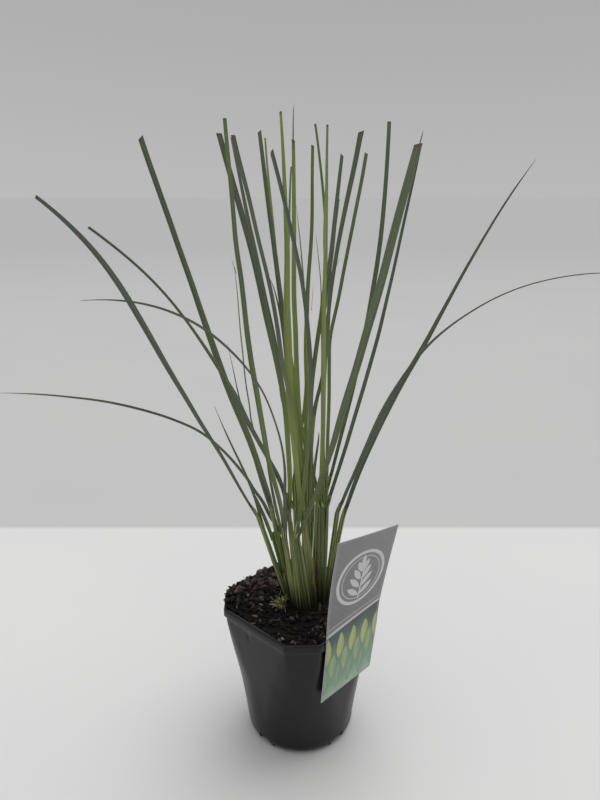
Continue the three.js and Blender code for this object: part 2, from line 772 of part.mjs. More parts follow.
function makeMoss() {
  const random = makeRandom(SEED);
  const centre = new THREE.Vector3(...MOSS_PLACE, soilHeight(...MOSS_PLACE) + 3.4);
  const core = new THREE.IcosahedronGeometry(MOSS_CORE, 0);
  core.translate(...centre);
  const parts = [solid(mossPlug(0)), solid(core)];
  for (let number = 0; number < MOSS_SPINES; number += 1) {
    const rise = lerp(0.1, 0.95, (number + 0.5) / MOSS_SPINES);
    const degrees = number * GOLDEN_ANGLE + random() * 20;
    const direction = compass(degrees, Math.sqrt(1 - rise * rise), rise);
    const length = MOSS_SPINE_LENGTH * lerp(0.7, 1.1, random());
    const spine = new THREE.ConeGeometry(MOSS_SPINE_RADIUS, length, 3);
    spine.translate(0, length / 2, 0);
    spine.applyQuaternion(new THREE.Quaternion().setFromUnitVectors(new THREE.Vector3(0, 1, 0), direction));
    spine.translate(...centre.clone().addScaledVector(direction, MOSS_CORE * 0.5));
    parts.push(solid(spine));
  }
  return wasm.Manifold.union(parts);
}

// Stub: the cut end of an old stem
function makeStub(gap) {
  const ground = soilHeight(...STUB_PLACE);
  const length = STUB_HEIGHT + STUB_DEPTH + 2 * gap;
  const stub = new THREE.CylinderGeometry(STUB_RADIUS * 0.75 + gap, STUB_RADIUS + gap, length, 7);
  stub.rotateX(Math.PI / 2);
  stub.translate(...STUB_PLACE, ground + (STUB_HEIGHT - STUB_DEPTH) / 2);
  return solid(stub);
}

const holes = TILLERS.map((tiller) => makeSheath(tiller, HOLE_GAP, HOLE_TOP_Z, HOLE_STEPS));
holes.push(makeTongue(CLEARANCE), solid(mossPlug(CLEARANCE)), makeStub(CLEARANCE));
addMesh('pot', makePot(), plastic);
addMesh('soil', makeSoil(holes), peat);
TILLERS.forEach((tiller, number) => {
  addMesh(`tiller_${String(number + 1).padStart(2, '0')}`, makeTiller(tiller), leaf);
});
addMesh('moss_tuft', makeMoss(), moss);
addMesh('old_stub', makeStub(0), straw);
addMesh('label', makeLabel(), card);

export default group;
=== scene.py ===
# Looks of the potted dwarf pampas grass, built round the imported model.
# Sizes are in millimetres and angles in degrees. Meshes are turned into metres as they are made.
# -Y is the front, +X is the right, and compass angles run from the front to the right.
import math
import random

import bmesh
import bpy
import numpy as np
from mathutils import Euler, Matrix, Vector, noise


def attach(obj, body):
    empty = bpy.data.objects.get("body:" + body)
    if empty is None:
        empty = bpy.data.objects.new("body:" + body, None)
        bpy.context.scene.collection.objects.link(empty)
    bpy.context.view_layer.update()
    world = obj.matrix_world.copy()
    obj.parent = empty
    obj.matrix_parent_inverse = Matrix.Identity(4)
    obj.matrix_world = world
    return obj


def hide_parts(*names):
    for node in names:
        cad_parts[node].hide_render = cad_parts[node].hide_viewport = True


MM = 0.001
TINY = 1e-9
SEED = 20
NOISE_SPACING = 71              # how far apart two seeds lie in the smooth noise
ANY_TURN = 6.3                  # radians, once round
MIX_INPUTS = (0, 6, 7)          # the Mix node's share and its two colours
MIX_OUTPUT = 2

# Pot, as in the part
POT_HEIGHT = 120
POT_TURN = 1.4
WALL = 1.2
WALL_FOOT_Z = 8
WALL_FOOT_RADIUS = 45.8
BASE_RADIUS = 40.5
SIDE_REACH = 53.5
CORNER_REACH = 62.4
CORNER_ROUNDING = 20
FACET_SOFTNESS = 0.7
RIM_PROUD = 1.6
RIM_BAND = 7
FLOOR_Z = 3
FLOOR_THICKNESS = 1.4
FOOT_WIDTH = 3
HUB_RADIUS = 9
NOTCH_HEIGHT = 8
NOTCH_HALF_ANGLE = 9
NOTCH_DEPTH = 9
CUTTER_PROUD = 5
LUG_RADIUS = 1.5
LUG_BESIDE_NOTCH = 1.6
LUG_SIDES = 14
LUG_REACH = 1.2
POT_SECTORS = 288
POT_LEVELS = 34
POT_SHARP = 50

# Heights and shares of the full width of a notch and of a lug
NOTCH_OUTLINE = [(-2, 1.0), (NOTCH_HEIGHT * 0.55, 1.0), (NOTCH_HEIGHT * 0.8, 0.93),
                 (NOTCH_HEIGHT * 0.95, 0.8), (NOTCH_HEIGHT, 0.66)]
LUG_OUTLINE = [(0.3, 0.7), (0.9, 0.95), (3.6, 0.95), (4.8, 0.75), (5.4, 0.35)]

# Dents in the wall: compass angle, height, half width in degrees, half height, depth
DENTS = [(-52, 106, 1.6, 1.6, 1.1), (1, 97.5, 1.5, 1.6, 1.0), (135, 103, 1.6, 1.6, 1.1),
         (-20, 70, 7, 9, 0.5), (-66, 52, 9, 14, 0.45), (92, 60, 10, 12, 0.5),
         (-150, 66, 9, 13, 0.5)]
DENTS_FROM_Z = 9

# Slow waves of the wall and of the soil: height, scale and seed
WALL_WAVES = [(0.28, 34, 0), (0.12, 13, 3)]
SOIL_WAVES = [(1.5, 9, 0), (0.9, 3.7, 1), (0.45, 1.6, 2)]

# Soil, as in the part, with its rises: height, place to the right and away, and spread
SOIL_SIDE_TOP = 116
SOIL_GAP = 0.9
SOIL_INSET = -WALL - SOIL_GAP
SOIL_RISES = [(3.8, -36, 32, 700), (4.4, -52, 6, 420), (-1.2, 2, -45, 500)]
HEAP_ANGLE = -134
HEAP_HALF_ANGLE = 50
HEAP_FADE = 16
HEAP_CLEARANCE = 0.45
HEAP_OVER_RIM = 1.2
SOIL_SECTORS = 240
SOIL_RINGS = 84
SOIL_RING_POWER = 0.85          # below 1, so that the rings lie closer at the edge
SOIL_OVER_FLOOR = 0.35
SOIL_EDGE_SHARE = 0.09          # share of the way over which the edge turns into the bed
SOIL_EDGE_LUMPS = 0.35          # height of the lumps at the edge, against those of the bed
CRUMB_COUNT = 1700
CHIP_COUNT = 420
HEAP_CHIP_COUNT = 200
HEAP_CLOD_COUNT = 90
FIBRE_COUNT = 60
FIBRE_STEPS = 7
STEM_ROOM = 3.2                 # how far chips and crumbs stay from the middle of a stem
STEM_SHARE = 0.03               # how far up its sheath a stem is where it leaves the soil

# Sizes, tones and shares that chance picks from, and a chip's outline as level and scale
CRUMB_SIZES = [1.0, 1.3, 1.7, 2.2, 2.9, 3.8]
CRUMB_TONES = [0.1, 0.2, 0.3, 0.4, 0.6]
CHIP_TONES = [-0.1, 0.1, 0.25, 0.4, 0.7, 1.0]
CHIP_OUTLINE = [(-0.5, 0.7), (-0.25, 1.0), (0.2, 0.97), (0.5, 0.72)]
CLOD_TONES = [-0.1, 0.05, 0.2, 0.45, 0.8]
KINDS = DARK, RED, GREY = 0, 1, 2
BED_SHARES = [0.86, 0.08, 0.06]
HEAP_SHARES = [0.8, 0.14, 0.06]

# Kinds of bark, with the places and colours on their ramps
BARKS = [
    ("bark_dark", (0.0, (14, 11, 11)), (0.5, (56, 45, 46)), (1.0, (112, 96, 96))),
    ("bark_red", (0.0, (34, 20, 22)), (0.5, (80, 52, 56)), (1.0, (122, 92, 92))),
    ("bark_grey", (0.0, (52, 44, 44)), (0.5, (98, 86, 86)), (1.0, (150, 136, 134))),
]

# Chips that stand out in the photograph: place to the right and away, size, and kind of bark
MARKED_CHIPS = [
    (-59, -9, 8.5, RED), (-55, -5, 6, DARK), (-45, 15, 6.5, RED), (-46, 8, 5, RED),
    (-35, -4, 6.5, GREY), (-33, -9, 5, GREY), (-14, -50, 4.4, GREY), (-1, -48.5, 5, RED),
    (7.5, -45, 4.6, GREY), (-38, 1, 7, GREY), (-52, 3, 7, DARK), (-24, -30, 5, DARK),
    (-60, -1, 8, DARK), (-58, 5, 8, RED), (-55, 11, 7, DARK), (-50, 18, 7, DARK), (-62, -6, 6, RED),
]

# Grass, with sheaths a little fuller than the part's
STEM_FOOT_Z = 98
SHEATH_HALF = 2.1
SHEATH_FULLER = 0.45            # the sheaths bulge this much more than the part's
SHEATH_DEPTH = 1.5
SHEATH_MIDDLE_DEPTH = 1.7
LEAST_HALF_WIDTH = 0.5
LEAST_HALF_DEPTH = 0.45
SHEATH_STEP = 0.3               # one sheath lies this much inside the next
SHEATH_THICKNESS = 0.24
SHEATH_WRAP = 164               # how far a leaf reaches round its stem, to each side
SHEATH_FOLD = 0.55
SHEATH_ROW_STEP = 6.0
COLLAR_WRAP = 100
COLLAR_LENGTH = 11              # length over which a sheath opens into its blade
COLLAR_SPACING = 11             # height between two collars on one stem
BLADE_KEEL = 0.2
KEEL_ROUNDING = 0.012
MIDRIB_WIDTH = 0.14
MIDRIB_THICKNESS = 0.3
SWAY = 0.3
LEAF_POINTS = 13
LEAF_US = np.linspace(-1, 1, LEAF_POINTS)       # places across a leaf, from edge to edge
LEAF_THICKNESS = 0.34
POINT_LENGTH = 26               # length over which a fine tip narrows to its point
POINT_WIDTH = 0.25
CORE_SIDES = 16
CORE_TOP = (-8, -4, -1, 1.5)    # heights of its last rings over the top of the sheath
UNCUT = 300.0                   # distance to a cut that a leaf doesn't have

# Stems: foot, top, half width of the sheath, and its tone
STEMS = [
    ((-10, 1), (-36, -9, 207), 1.9, 0.5),
    ((-7, 7), (-24, 3, 205), 3.1, 0.55),
    ((-4.5, -6), (-12.6, -9, 190), 2.3, 0.9),
    ((0, -9.5), (-9.8, -8, 208), 2.8, 0.75),
    ((6, -11.5), (-3.6, -14, 195), 3.1, 0.6),
    ((11.5, -8), (1.5, -9.5, 220), 2.9, 0.8),
    ((17, -4), (19, -6, 232), 3.5, 0.35),
    ((21, 3), (31, 2, 206), 1.9, 0.6),
    ((22, 10), (36, 10, 198), 1.9, 0.8),
    ((-2.5, 0.5), (-3, 2, 222), 2.2, 0.7),
    ((-2, 13), (-2.4, 12, 235), 1.7, 0.6),
    ((4, -4), (4, 0, 236), 2.8, 0.9),
    ((5, 4), (10, 8, 232), 2.5, 0.7),
    ((12, 8), (22, 13, 222), 2.1, 0.5),
    ((-9, 15), (-14, 17, 178), 2.1, 0.65),
    ((6, 14), (10, 22, 214), 1.9, 0.6),
    ((11, 1.5), (14, 2, 224), 2, 0.8),
]

# Blades: number of the stem, the four points that the blade passes through, its width at these,
# the angles that its face looks along, whether its tip is cut, its tone, from 0 for dark blue
# green to 1 for bright yellow green, or two of them for a blade whose lower part differs from its
# tip, and its bends: at a percentage of the length, how far it is off the smooth curve to the
# right, or to the right and up
BLADES = [
    (1, [(-34, -8, 200), (-78, -18, 289), (-114, -33, 375), (-167, -55, 447)], (2.2, 3.9, 4.9, 2.4),
     (-30, -10), True, 0.1, {6: (1.4, 0.7), 17: (2.6, 1.4), 35: (0.2, 0.1), 50: (-2.1, -1.1),
     63: (-2.2, -1.3), 80: (-0.6, -0.2)}),
    (1, [(-31, -7, 191), (-42, -12, 230), (-53, -20, 265), (-63, -28, 300)], (2.2, 1.9, 1.4, 0.5),
     (10, 30), False, 0.35, {17: (1.6, 0.8), 70: (0.8, 0.3)}),
    (2, [(-22.3, 4.3, 194.3), (-51, 7, 297), (-84, 12, 392), (-115, 20, 487)], (4.8, 5.6, 4.3, 4.0),
     (-20, 15), True, 0.3, {5: 1, 10: 0.7, 20: -0.3, 35: (-2.6, -0.4), 50: (-2, -0.5),
     65: (-0.4, -0.2), 83: 0.7}),
    (2, [(-21.6, 4.6, 191), (-36.2, 18, 241), (-49.5, 33, 288), (-60.7, 50, 329)],
     (2.6, 2.8, 1.5, 0.5), (30, 60), False, 0.4, {12: -1.2}),
    (3, [(-12.4, -9, 178), (-17, -27, 284), (-60, -55, 359), (-132, -95, 387)],
     (4.4, 1.7, 2.2, 0.7), (-35, -20), False, 0.12, {4: -1, 8: -1.9, 13: -2.7, 20: -1.6, 29: -0.5,
     35: -0.3, 45: (0.5, 0.2), 56: (0.1, 0.1), 80: (0, 0.6)}),
    (3, [(-13, -9, 184), (-30, -20, 297), (-41, -37, 395), (-46, -62, 492)], (3.2, 4.0, 3.4, 2.4),
     (-10, 25), True, (0.62, 0.42), {5: 1.8, 10: 1.5, 14: 0.4, 19: -1, 27: -0.9, 38: -0.7, 45: -1.1,
     52: -0.8, 60: -0.1, 66: 0.2, 75: -0.3, 83: 0.3}),
    (4, [(-8.5, -8, 196), (-36, -9, 282), (-82, -17, 361), (-143, -30, 427)], (3.4, 4.0, 2.1, 1.8),
     (-30, 0), True, 0.22, {8: (1.4, 1), 14: (1.2, 1.2), 20: (-1.5, 0.9), 27: (-3.6, 0.5), 34: -4.1,
     41: (-2.7, -0.5), 50: (-2, -1.2), 83: (1, 0.9)}),
    (4, [(-9.2, -7.6, 202.3), (-15, -15, 319), (-31, -22, 403), (-53, -30, 486)],
     (3.6, 4.3, 4.4, 3.7), (-15, 20), True, (0.95, 0.25), {5: 1.1, 17: 0.8, 26: 0.8, 35: -0.4,
     50: (-2.2, -0.4), 62: (-1.5, -0.2), 74: (-0.6, -0.2), 88: -0.3, 100: -0.1}),
    (5, [(-3.5, -14, 187), (7, -23, 303), (1, -43, 390), (-17, -75, 472)], (3.0, 3.9, 3.6, 4.0),
     (20, 60), True, (0.7, 0.1), {33: 0.2, 45: -0.3, 65: -0.5, 80: -0.9, 90: -0.9, 100: -0.8}),
    (5, [(-2.6, -14.3, 185), (33, -23, 300), (54, -40, 391), (70, -70, 477)], (3.2, 5.5, 5.7, 4.7),
     (25, -5), True, (0.5, 0.3), {14: 0.9, 22: 0.4, 30: -0.4, 45: -0.4, 53: -0.4, 70: 0.1,
     83: (0.2, 0.2), 100: 0.4}),
    (6, [(1, -9, 212), (-8, -29, 320), (-23, -58, 403), (-38, -95, 480)], (3.0, 3.3, 2.6, 2.7),
     (0, 30), True, (0.9, 0.15), {14: 0, 27: -1.4, 39: -2.9, 48: -1.7, 57: -0.5, 74: 0, 85: 0.6,
     100: -0.1}),
    (6, [(1.5, -9.5, 206), (-8, -22, 311), (-9.5, -34, 404), (-12, -50, 497)], (3.4, 6, 4.2, 1.8),
     (-10, -35), True, (1.0, 0.9), {20: 0.9, 30: 0.4, 49: 0.6, 57: 0.3, 70: 0.9, 83: 0.5}),
    (7, [(17, -5.2, 207), (-0.5, -6, 314), (-4.5, -10, 399), (-5, -15, 483)], (3.2, 3.7, 3.3, 2.2),
     (-15, 10), True, (1.0, 0.85), {7: -0.5, 12: -1.6, 17: -2.9, 22: -3.8, 28: -2.9, 33: -1.9,
     39: -1.2, 47: -0.5, 57: -0.5, 85: 0, 100: 0.1}),
    (7, [(21, -4, 226), (24, -4, 318), (33, 8, 400), (49, 30, 477)], (2.6, 2.8, 3.1, 3.6), (0, 40),
     True, (0.75, 0.35), {28: -1.7, 37: -3.3, 42: -4.2, 46: -3.9, 50: -2.9, 56: -1.6, 63: -0.7,
     75: 0.3, 93: 0, 100: -1.1}),
    (7, [(17, -5, 216), (18, -10, 312), (24, -18, 400), (39, -30, 487)], (3.2, 2.9, 2.8, 3.6),
     (10, -25), True, (0.75, 0.25), {40: -0.3, 55: -0.6, 71: 0.2, 84: 1.5, 93: 1.7, 100: 0.8}),
    (7, [(16, -4, 216), (17, -22, 320), (16, -54, 406), (14.5, -100, 485)], (3.4, 3.4, 2.8, 1.3),
     (0, 20), True, (0.95, 0.75), {15: 0.2, 27: -0.2, 38: -0.2, 44: -0.5, 53: -0.9, 63: -0.4,
     75: 0}),
    (7, [(20.5, -5, 207), (47, 4, 302), (69, 10, 391), (86, 18, 482)], (2.6, 3.1, 2.6, 2.1),
     (-10, 25), True, 0.1, {5: 0.5, 10: (0.9, 0.3), 16: (1.1, 0.5), 25: (0.8, 0.3), 34: 0.9,
     45: (0.8, -0.3), 60: -0.2, 83: (-1.1, 0.3)}),
    (8, [(30, 2, 199), (66, -4, 294), (123, -14, 368), (232, -30, 396)], (3.4, 3.2, 1.2, 0.6),
     (30, 5), False, 0.12, {6: -0.5, 12: -0.1, 17: 0, 27: -0.6, 38: -0.5, 50: (-0.1, 0.2),
     67: (0.6, -0.6), 83: (0.3, 0.1), 92: (0, 0.4)}),
    (9, [(35, 10, 190), (72, 15, 293), (123, 26, 384), (177, 40, 473)], (3.6, 4.7, 2.5, 0.8),
     (20, -15), False, 0.15, {40: (1.6, -0.9), 50: (1.8, -1), 60: (0.5, -0.1), 70: (-1.2, 0.7),
     80: (-2.3, 1.3), 90: (-2.2, 1.2)}),
    (10, [(-3, 2, 210), (-9, 8, 316), (-18, 17, 404), (-30, 28, 492)], (2.8, 3.6, 4, 3.6), (0, -40),
     True, (0.7, 0.3), {17: 0.8, 67: -0.6, 80: -0.3, 100: 0.7}),
    (10, [(-3, 2, 200), (-37, 24, 275), (-48, 47, 336), (-57, 75, 395)], (2, 1.6, 1.9, 1.2),
     (40, 80), False, 0.5, {8: (-1.6, 0.3), 17: (-2.1, 0.6), 24: (-4.6, 0.2), 32: (-4.6, -0.2),
     38: (-2.9, -0.3), 45: (-2.2, -0.3), 55: (-1.6, -0.2), 70: -1.4, 83: -1}),
    (11, [(-5, 12, 222), (-21, 27, 328), (-38, 52, 410), (-55, 80, 491)], (3.2, 4, 4.4, 3.0),
     (20, 50), True, 0.2, {2: 1.4, 5: 2.6, 10: 3.8, 15: 2, 20: 0, 28: 1, 40: 1.1, 50: 0, 60: -0.1,
     75: -0.4, 88: -0.4, 100: -0.6}),
    (11, [(-5, 13, 222), (2, 52, 313), (2, 100, 376), (-4, 150, 438)], (2.6, 2.4, 1.6, 0.5),
     (170, 200), False, 0.5, {10: 1.4, 20: 3.4, 30: 3.6, 50: 1.6, 83: 0.4}),
    (12, [(4, 0, 222), (3, 10, 324), (7, 25, 404), (9, 40, 483)], (3, 3.4, 2.8, 2.2), (-30, 10),
     True, (1.0, 0.6), {17: 2.2, 22: 2.5, 28: 2.2, 34: 1.4, 40: 0.8, 46: 0.6, 55: 0.2, 72: 0.5,
     93: -0.2}),
    (12, [(4, 0, 218), (-9, 26, 329), (-20, 58, 411), (-29, 95, 492)], (3, 3.4, 3, 2.1), (10, 50),
     True, (1.0, 0.8), {33: 0, 42: -1.3, 50: -2.3, 60: -1.8, 75: -1, 90: -0.7, 100: -0.5}),
    (13, [(9, 8, 220), (16, 28, 330), (20, 55, 417), (12, 85, 502)], (3.2, 3.8, 2.4, 1.7), (-40, 0),
     True, (0.45, 0.5), {6: -1.4, 10: -2.6, 15: -3.5, 20: -4.3, 25: -4.4, 30: -3.6, 36: -2.5,
     42: -1.2, 48: -0.2, 93: -0.5}),
    (13, [(9, 8, 214), (-2, 42, 315), (-9, 80, 394), (-8, 120, 471)], (2.8, 2.7, 2.2, 1.5),
     (150, 190), True, (0.9, 0.6), {8: -1.3, 13: -2.8, 18: -5, 23: -6.4, 28: -6.8, 34: -6.2, 40: -5,
     53: -3.4, 63: -1.8, 80: 0}),
    (14, [(21.5, 13, 214), (48.5, 32, 324), (64, 58, 414), (72, 88, 504)], (2.6, 3.8, 3.6, 3.3),
     (20, -30), True, 0.35, {12: -0.6, 25: -0.7, 40: -0.2, 83: 0.5}),
    (14, [(21, 14, 206), (16, 38, 313), (25, 73, 397), (35, 112, 480)], (3.2, 3.6, 4.3, 3.2),
     (-10, 30), True, (0.7, 0.25), {14: 2, 20: 2.7, 27: 2.8, 35: 2.5, 42: 1, 49: -1.1, 54: -1,
     62: -0.4, 83: -1, 93: -0.8}),
    (15, [(-14.3, 16.8, 170.3), (-64, 19, 248), (-147, 22, 287), (-243, 26, 294)], (5, 2.6, 2, 0.7),
     (-40, 10), False, 0.15, {7: (-3.6, -1.5), 13: (-3, -2.6), 18: (-3.4, -3.3), 21: (-2.6, -2.4),
     25: (-2.2, -1.4), 33: (-0.6, 0.5), 42: (0.8, 2.1), 50: (0.4, 1.1), 60: (0, -0.4),
     70: (0, -1.4), 80: (0, -1.9), 90: (0, -1.3)}),
    (16, [(10, 21, 200), (14, 60, 290), (24, 112, 352), (38, 172, 388)], (3, 2.8, 2.2, 0.7),
     (175, 190), False, 0.3, {11: -1.2, 17: -2.3, 23: -3.1, 30: -4, 40: -4.1, 50: -3, 59: -1.5,
     70: -0.4}),
    (16, [(10, 21, 196), (17, 42, 290), (24, 68, 372), (32, 98, 444)], (3, 3.2, 2.6, 1.6),
     (160, 140), True, 0.45, {7: -2.6, 13: -4.2, 22: -4.7, 31: -3.2, 37: -0.4, 43: 0.8, 50: 1.4,
     56: 1.5, 64: 0}),
    (17, [(14, 2, 210), (13, 9, 306), (15, 19, 394), (19, 30, 470)], (2.8, 3.2, 2.6, 1.4), (35, 70),
     True, (1.0, 0.75), {6: 1.8, 12: 3.6, 20: 4.6, 30: 5, 36: 5.1, 46: 4.2, 53: 3.1, 63: 3, 75: 1}),
]

# Thin extra leaves: stem, the four points, width at the start and the end, face, kind and tone.
# A fine one ends in a point, a sheath is olive, and a dry one is brown.
EXTRAS = [
    (7, [(-5, -15, 476), (-5, -15.8, 486), (-4.9, -16.4, 496), (-4.5, -17, 505)], (0.9, 0.6),
     (0, 20), "fine", 0.2),
    (12, [(6, -6.4, 130), (6.4, -6.8, 190), (7.2, -7, 244), (9.4, -7, 286)], (3.2, 3.7), (-10, 15),
     "sheath", 0.62),
    (12, [(9.2, -7, 281), (11.2, -7.4, 295), (14.4, -7.6, 311), (17.6, -7, 329)], (3.4, 2.2),
     (10, 60), "fine", (0.35, 0.2)),
    (2, [(-22.3, -2, 176), (-28.4, -2.5, 195.4), (-34.6, -3, 211), (-39.7, -3.5, 222.7)],
     (3.2, 2.8), (-20, 10), "fine", 0.55),
    (2, [(-14.7, -1, 145.1), (-16.2, -1, 160.1), (-19.3, -1, 173), (-21.3, -1, 184)], (4.2, 6.8),
     (-25, 15), "sheath", 0.5),
    (7, [(9.2, -8, 196), (10.4, -8, 236), (12.7, -8, 257), (14.2, -8, 273)], (2.6, 1.8), (0, 20),
     "fine", 0.45),
    (12, [(14.9, -6, 371), (14.6, -6, 387), (13, -6, 403), (10.8, -6, 422)], (0.8, 0.5), (0, 20),
     "fine", 0.5),
    (11, [(-11, 12, 321.5), (-13.2, 12, 343.6), (-17.3, 12, 369.1), (-23.7, 12, 388.6)], (2.6, 0.8),
     (0, 30), "fine", 0.35),
    (12, [(8.1, -6, 366), (8.5, -6, 374), (8.9, -6, 381), (9.2, -6, 388)], (0.3, 0.2), (0, 20),
     "fine", 0.5),
    (5, [(70.6, -70, 474), (71.3, -70, 477.7), (72.1, -70, 481.2), (72.8, -70, 484.5)], (0.8, 0.5),
     (0, 20), "fine", 0.3),
    (10, [(-54.2, 75, 384), (-55.2, 75, 388.5), (-56.4, 75, 392), (-57.8, 75, 396)], (0.6, 0.4),
     (40, 70), "fine", 0.5),
    (3, [(-15.3, -4, 186), (-19.5, -4, 204.5), (-23, -3, 223.5), (-26.8, -2, 246)], (2.6, 2.2),
     (-10, 20), "fine", 0.5),
    (6, [(10.6, -14, 140), (10.4, -14, 149), (10.7, -14, 157), (10.3, -14, 166)], (2.2, 0.9),
     (0, 20), "dry", 0.5),
]

MOSS_PLACE = (-17.6, -7.2)
MOSS_MIDDLE = (1.4, 0.8, 1.6)   # middle of the leaves, from the tuft's place on the soil
MOSS_CRUMB_SHIFT = (1.5, -1.2, 0)
MOSS_LEAVES = 150
MOSS_CRUMBS = 40
MOSS_THICKNESS = 0.17
GOLDEN_ANGLE = 137.5

# Stub, with the shares of its length and radius up its outside and down its inside
STUB_PLACE = (16, -12.5)
STUB_RADIUS = 1.2
STUB_HEIGHT = 6
STUB_DEPTH = 4
STUB_SIDES = 28
STUB_WALLS = [(0.0, 1.05), (0.25, 1.0), (0.5, 0.96), (0.75, 0.9), (0.96, 0.86), (1.0, 0.8),
              (1.0, 0.66), (0.9, 0.6), (0.45, 0.6)]

# Label, as in the part: height, reach, place along the side, facing angle and roll of each row
LABEL_WIDTH = 64
LABEL_THICKNESS = 0.6
LABEL_SMOOTHING = 9             # height to each side over which the rows are smoothed
LABEL_SAMPLES = 13
LABEL_CURL = 0.5
LABEL_CURL_HEIGHTS = (125, 200)  # over these the curl sets in
LABEL_GRID = (90, 27)           # rows and columns of its mesh
TONGUE_GRID = (31, 9)
TONGUE_WIDTH = 22
TONGUE_THICKNESS = 0.55
TONGUE_END_Z = 96
TONGUE_SHIFT = 1.5
LABEL_SIDE = POT_TURN + 45
LABEL_ROWS = [
    (62, 50.8, 1.2, 48, -2),
    (80, 52.6, 1.5, 47.4, -1),
    (97, 54.3, 1.7, 46.8, 0),
    (112, 56, 1.6, 46.4, 0),
    (120, 56.3, 1.5, 46.2, 0),
    (129, 57.4, 1, 45.6, -1),
    (143, 60.1, -0.6, 44.6, -2.5),
    (163, 64.6, -2.9, 43.2, -4),
    (188, 70.6, -5.3, 42, -5.2),
    (212, 76.6, -7.4, 41.2, -6),
]

# Print on the label, in millimetres from the middle of its lower edge: the rings by radius and
# half width, the leaves by start, height, length, width and angle, and the rows of leaves by
# height, shift and colour
CARD_LENGTH = 150
BORDER_HEIGHT = 66
PRINT_BLUR = 0.28
LATTICE_TURN = 0.42
RING_HEIGHT = 108
RINGS = [(25, 1.5), (20.6, 0.35)]
SPRIG_PAIRS = [(90, 17, 52), (98, 17, 44), (106, 15, 36), (114, 12, 26)]
SPRIG_LEAVES = [(side * 0.4, height, length, 5.2, side * degrees)
                for height, length, degrees in SPRIG_PAIRS for side in (1, -1)]
SPRIG_LEAVES.append((0, 119, 11, 4.6, 0))
LEAF_ROWS = [(34, 0, (190, 196, 122)), (19, 7.5, (156, 180, 128)), (4, 0, (136, 168, 140))]
LEAF_SPACING = 15
PRINT_LEAF_LENGTH = 24
PRINT_LEAF_WIDTH = 8.5

# Camera that fits the photograph
CAMERA_PLACE = (-0.4, -502.8, 448.4)
CAMERA_PITCH = 16.88
CAMERA_LENS = 30.6
SENSOR_WIDTH = 36

# Floor, in metres: where it turns greyer behind the object, and then slowly darker
STAGE_RADIUS = 90
FLOOR_TURN = (0.352, 0.364)
FAR_FADE = (0.3, 6.0)

# Soft light from high behind the right
SUN_FROM = (0.45, 0.55, 1.3)
SUN_SPREAD = 62
SUN_STRENGTH = 1.0

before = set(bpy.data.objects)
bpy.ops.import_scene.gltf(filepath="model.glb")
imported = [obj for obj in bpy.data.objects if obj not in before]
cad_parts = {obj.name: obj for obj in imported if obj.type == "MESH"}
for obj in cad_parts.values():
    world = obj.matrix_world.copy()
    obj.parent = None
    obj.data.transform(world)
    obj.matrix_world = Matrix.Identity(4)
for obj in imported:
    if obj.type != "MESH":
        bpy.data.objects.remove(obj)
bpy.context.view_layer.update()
bpy.context.scene.view_settings.view_transform = "Standard"


def lerp(a, b, t):
    return a + (b - a) * t


def clamp(x):
    return max(0.0, min(1.0, x))


def smoothstep(x, low, high):
    t = np.clip((x - low) / (high - low), 0.0, 1.0)
    return t * t * (3 - 2 * t)


def compass(degrees, radius=1.0, z=0.0):
    angle = math.radians(degrees)
    return np.array([radius * math.sin(angle), -radius * math.cos(angle), z])


def wobble(place, scale, seed=0.0):
    """A smooth random number from -1 to 1 at a place, for lumps of about the scale's size"""
    return noise.noise(Vector((place[0], place[1], place[2] + NOISE_SPACING * seed)) / scale)


def relief(place, waves):
    """The height of several waves together at a place"""
    return sum(height * wobble(place, scale, seed) for height, scale, seed in waves)


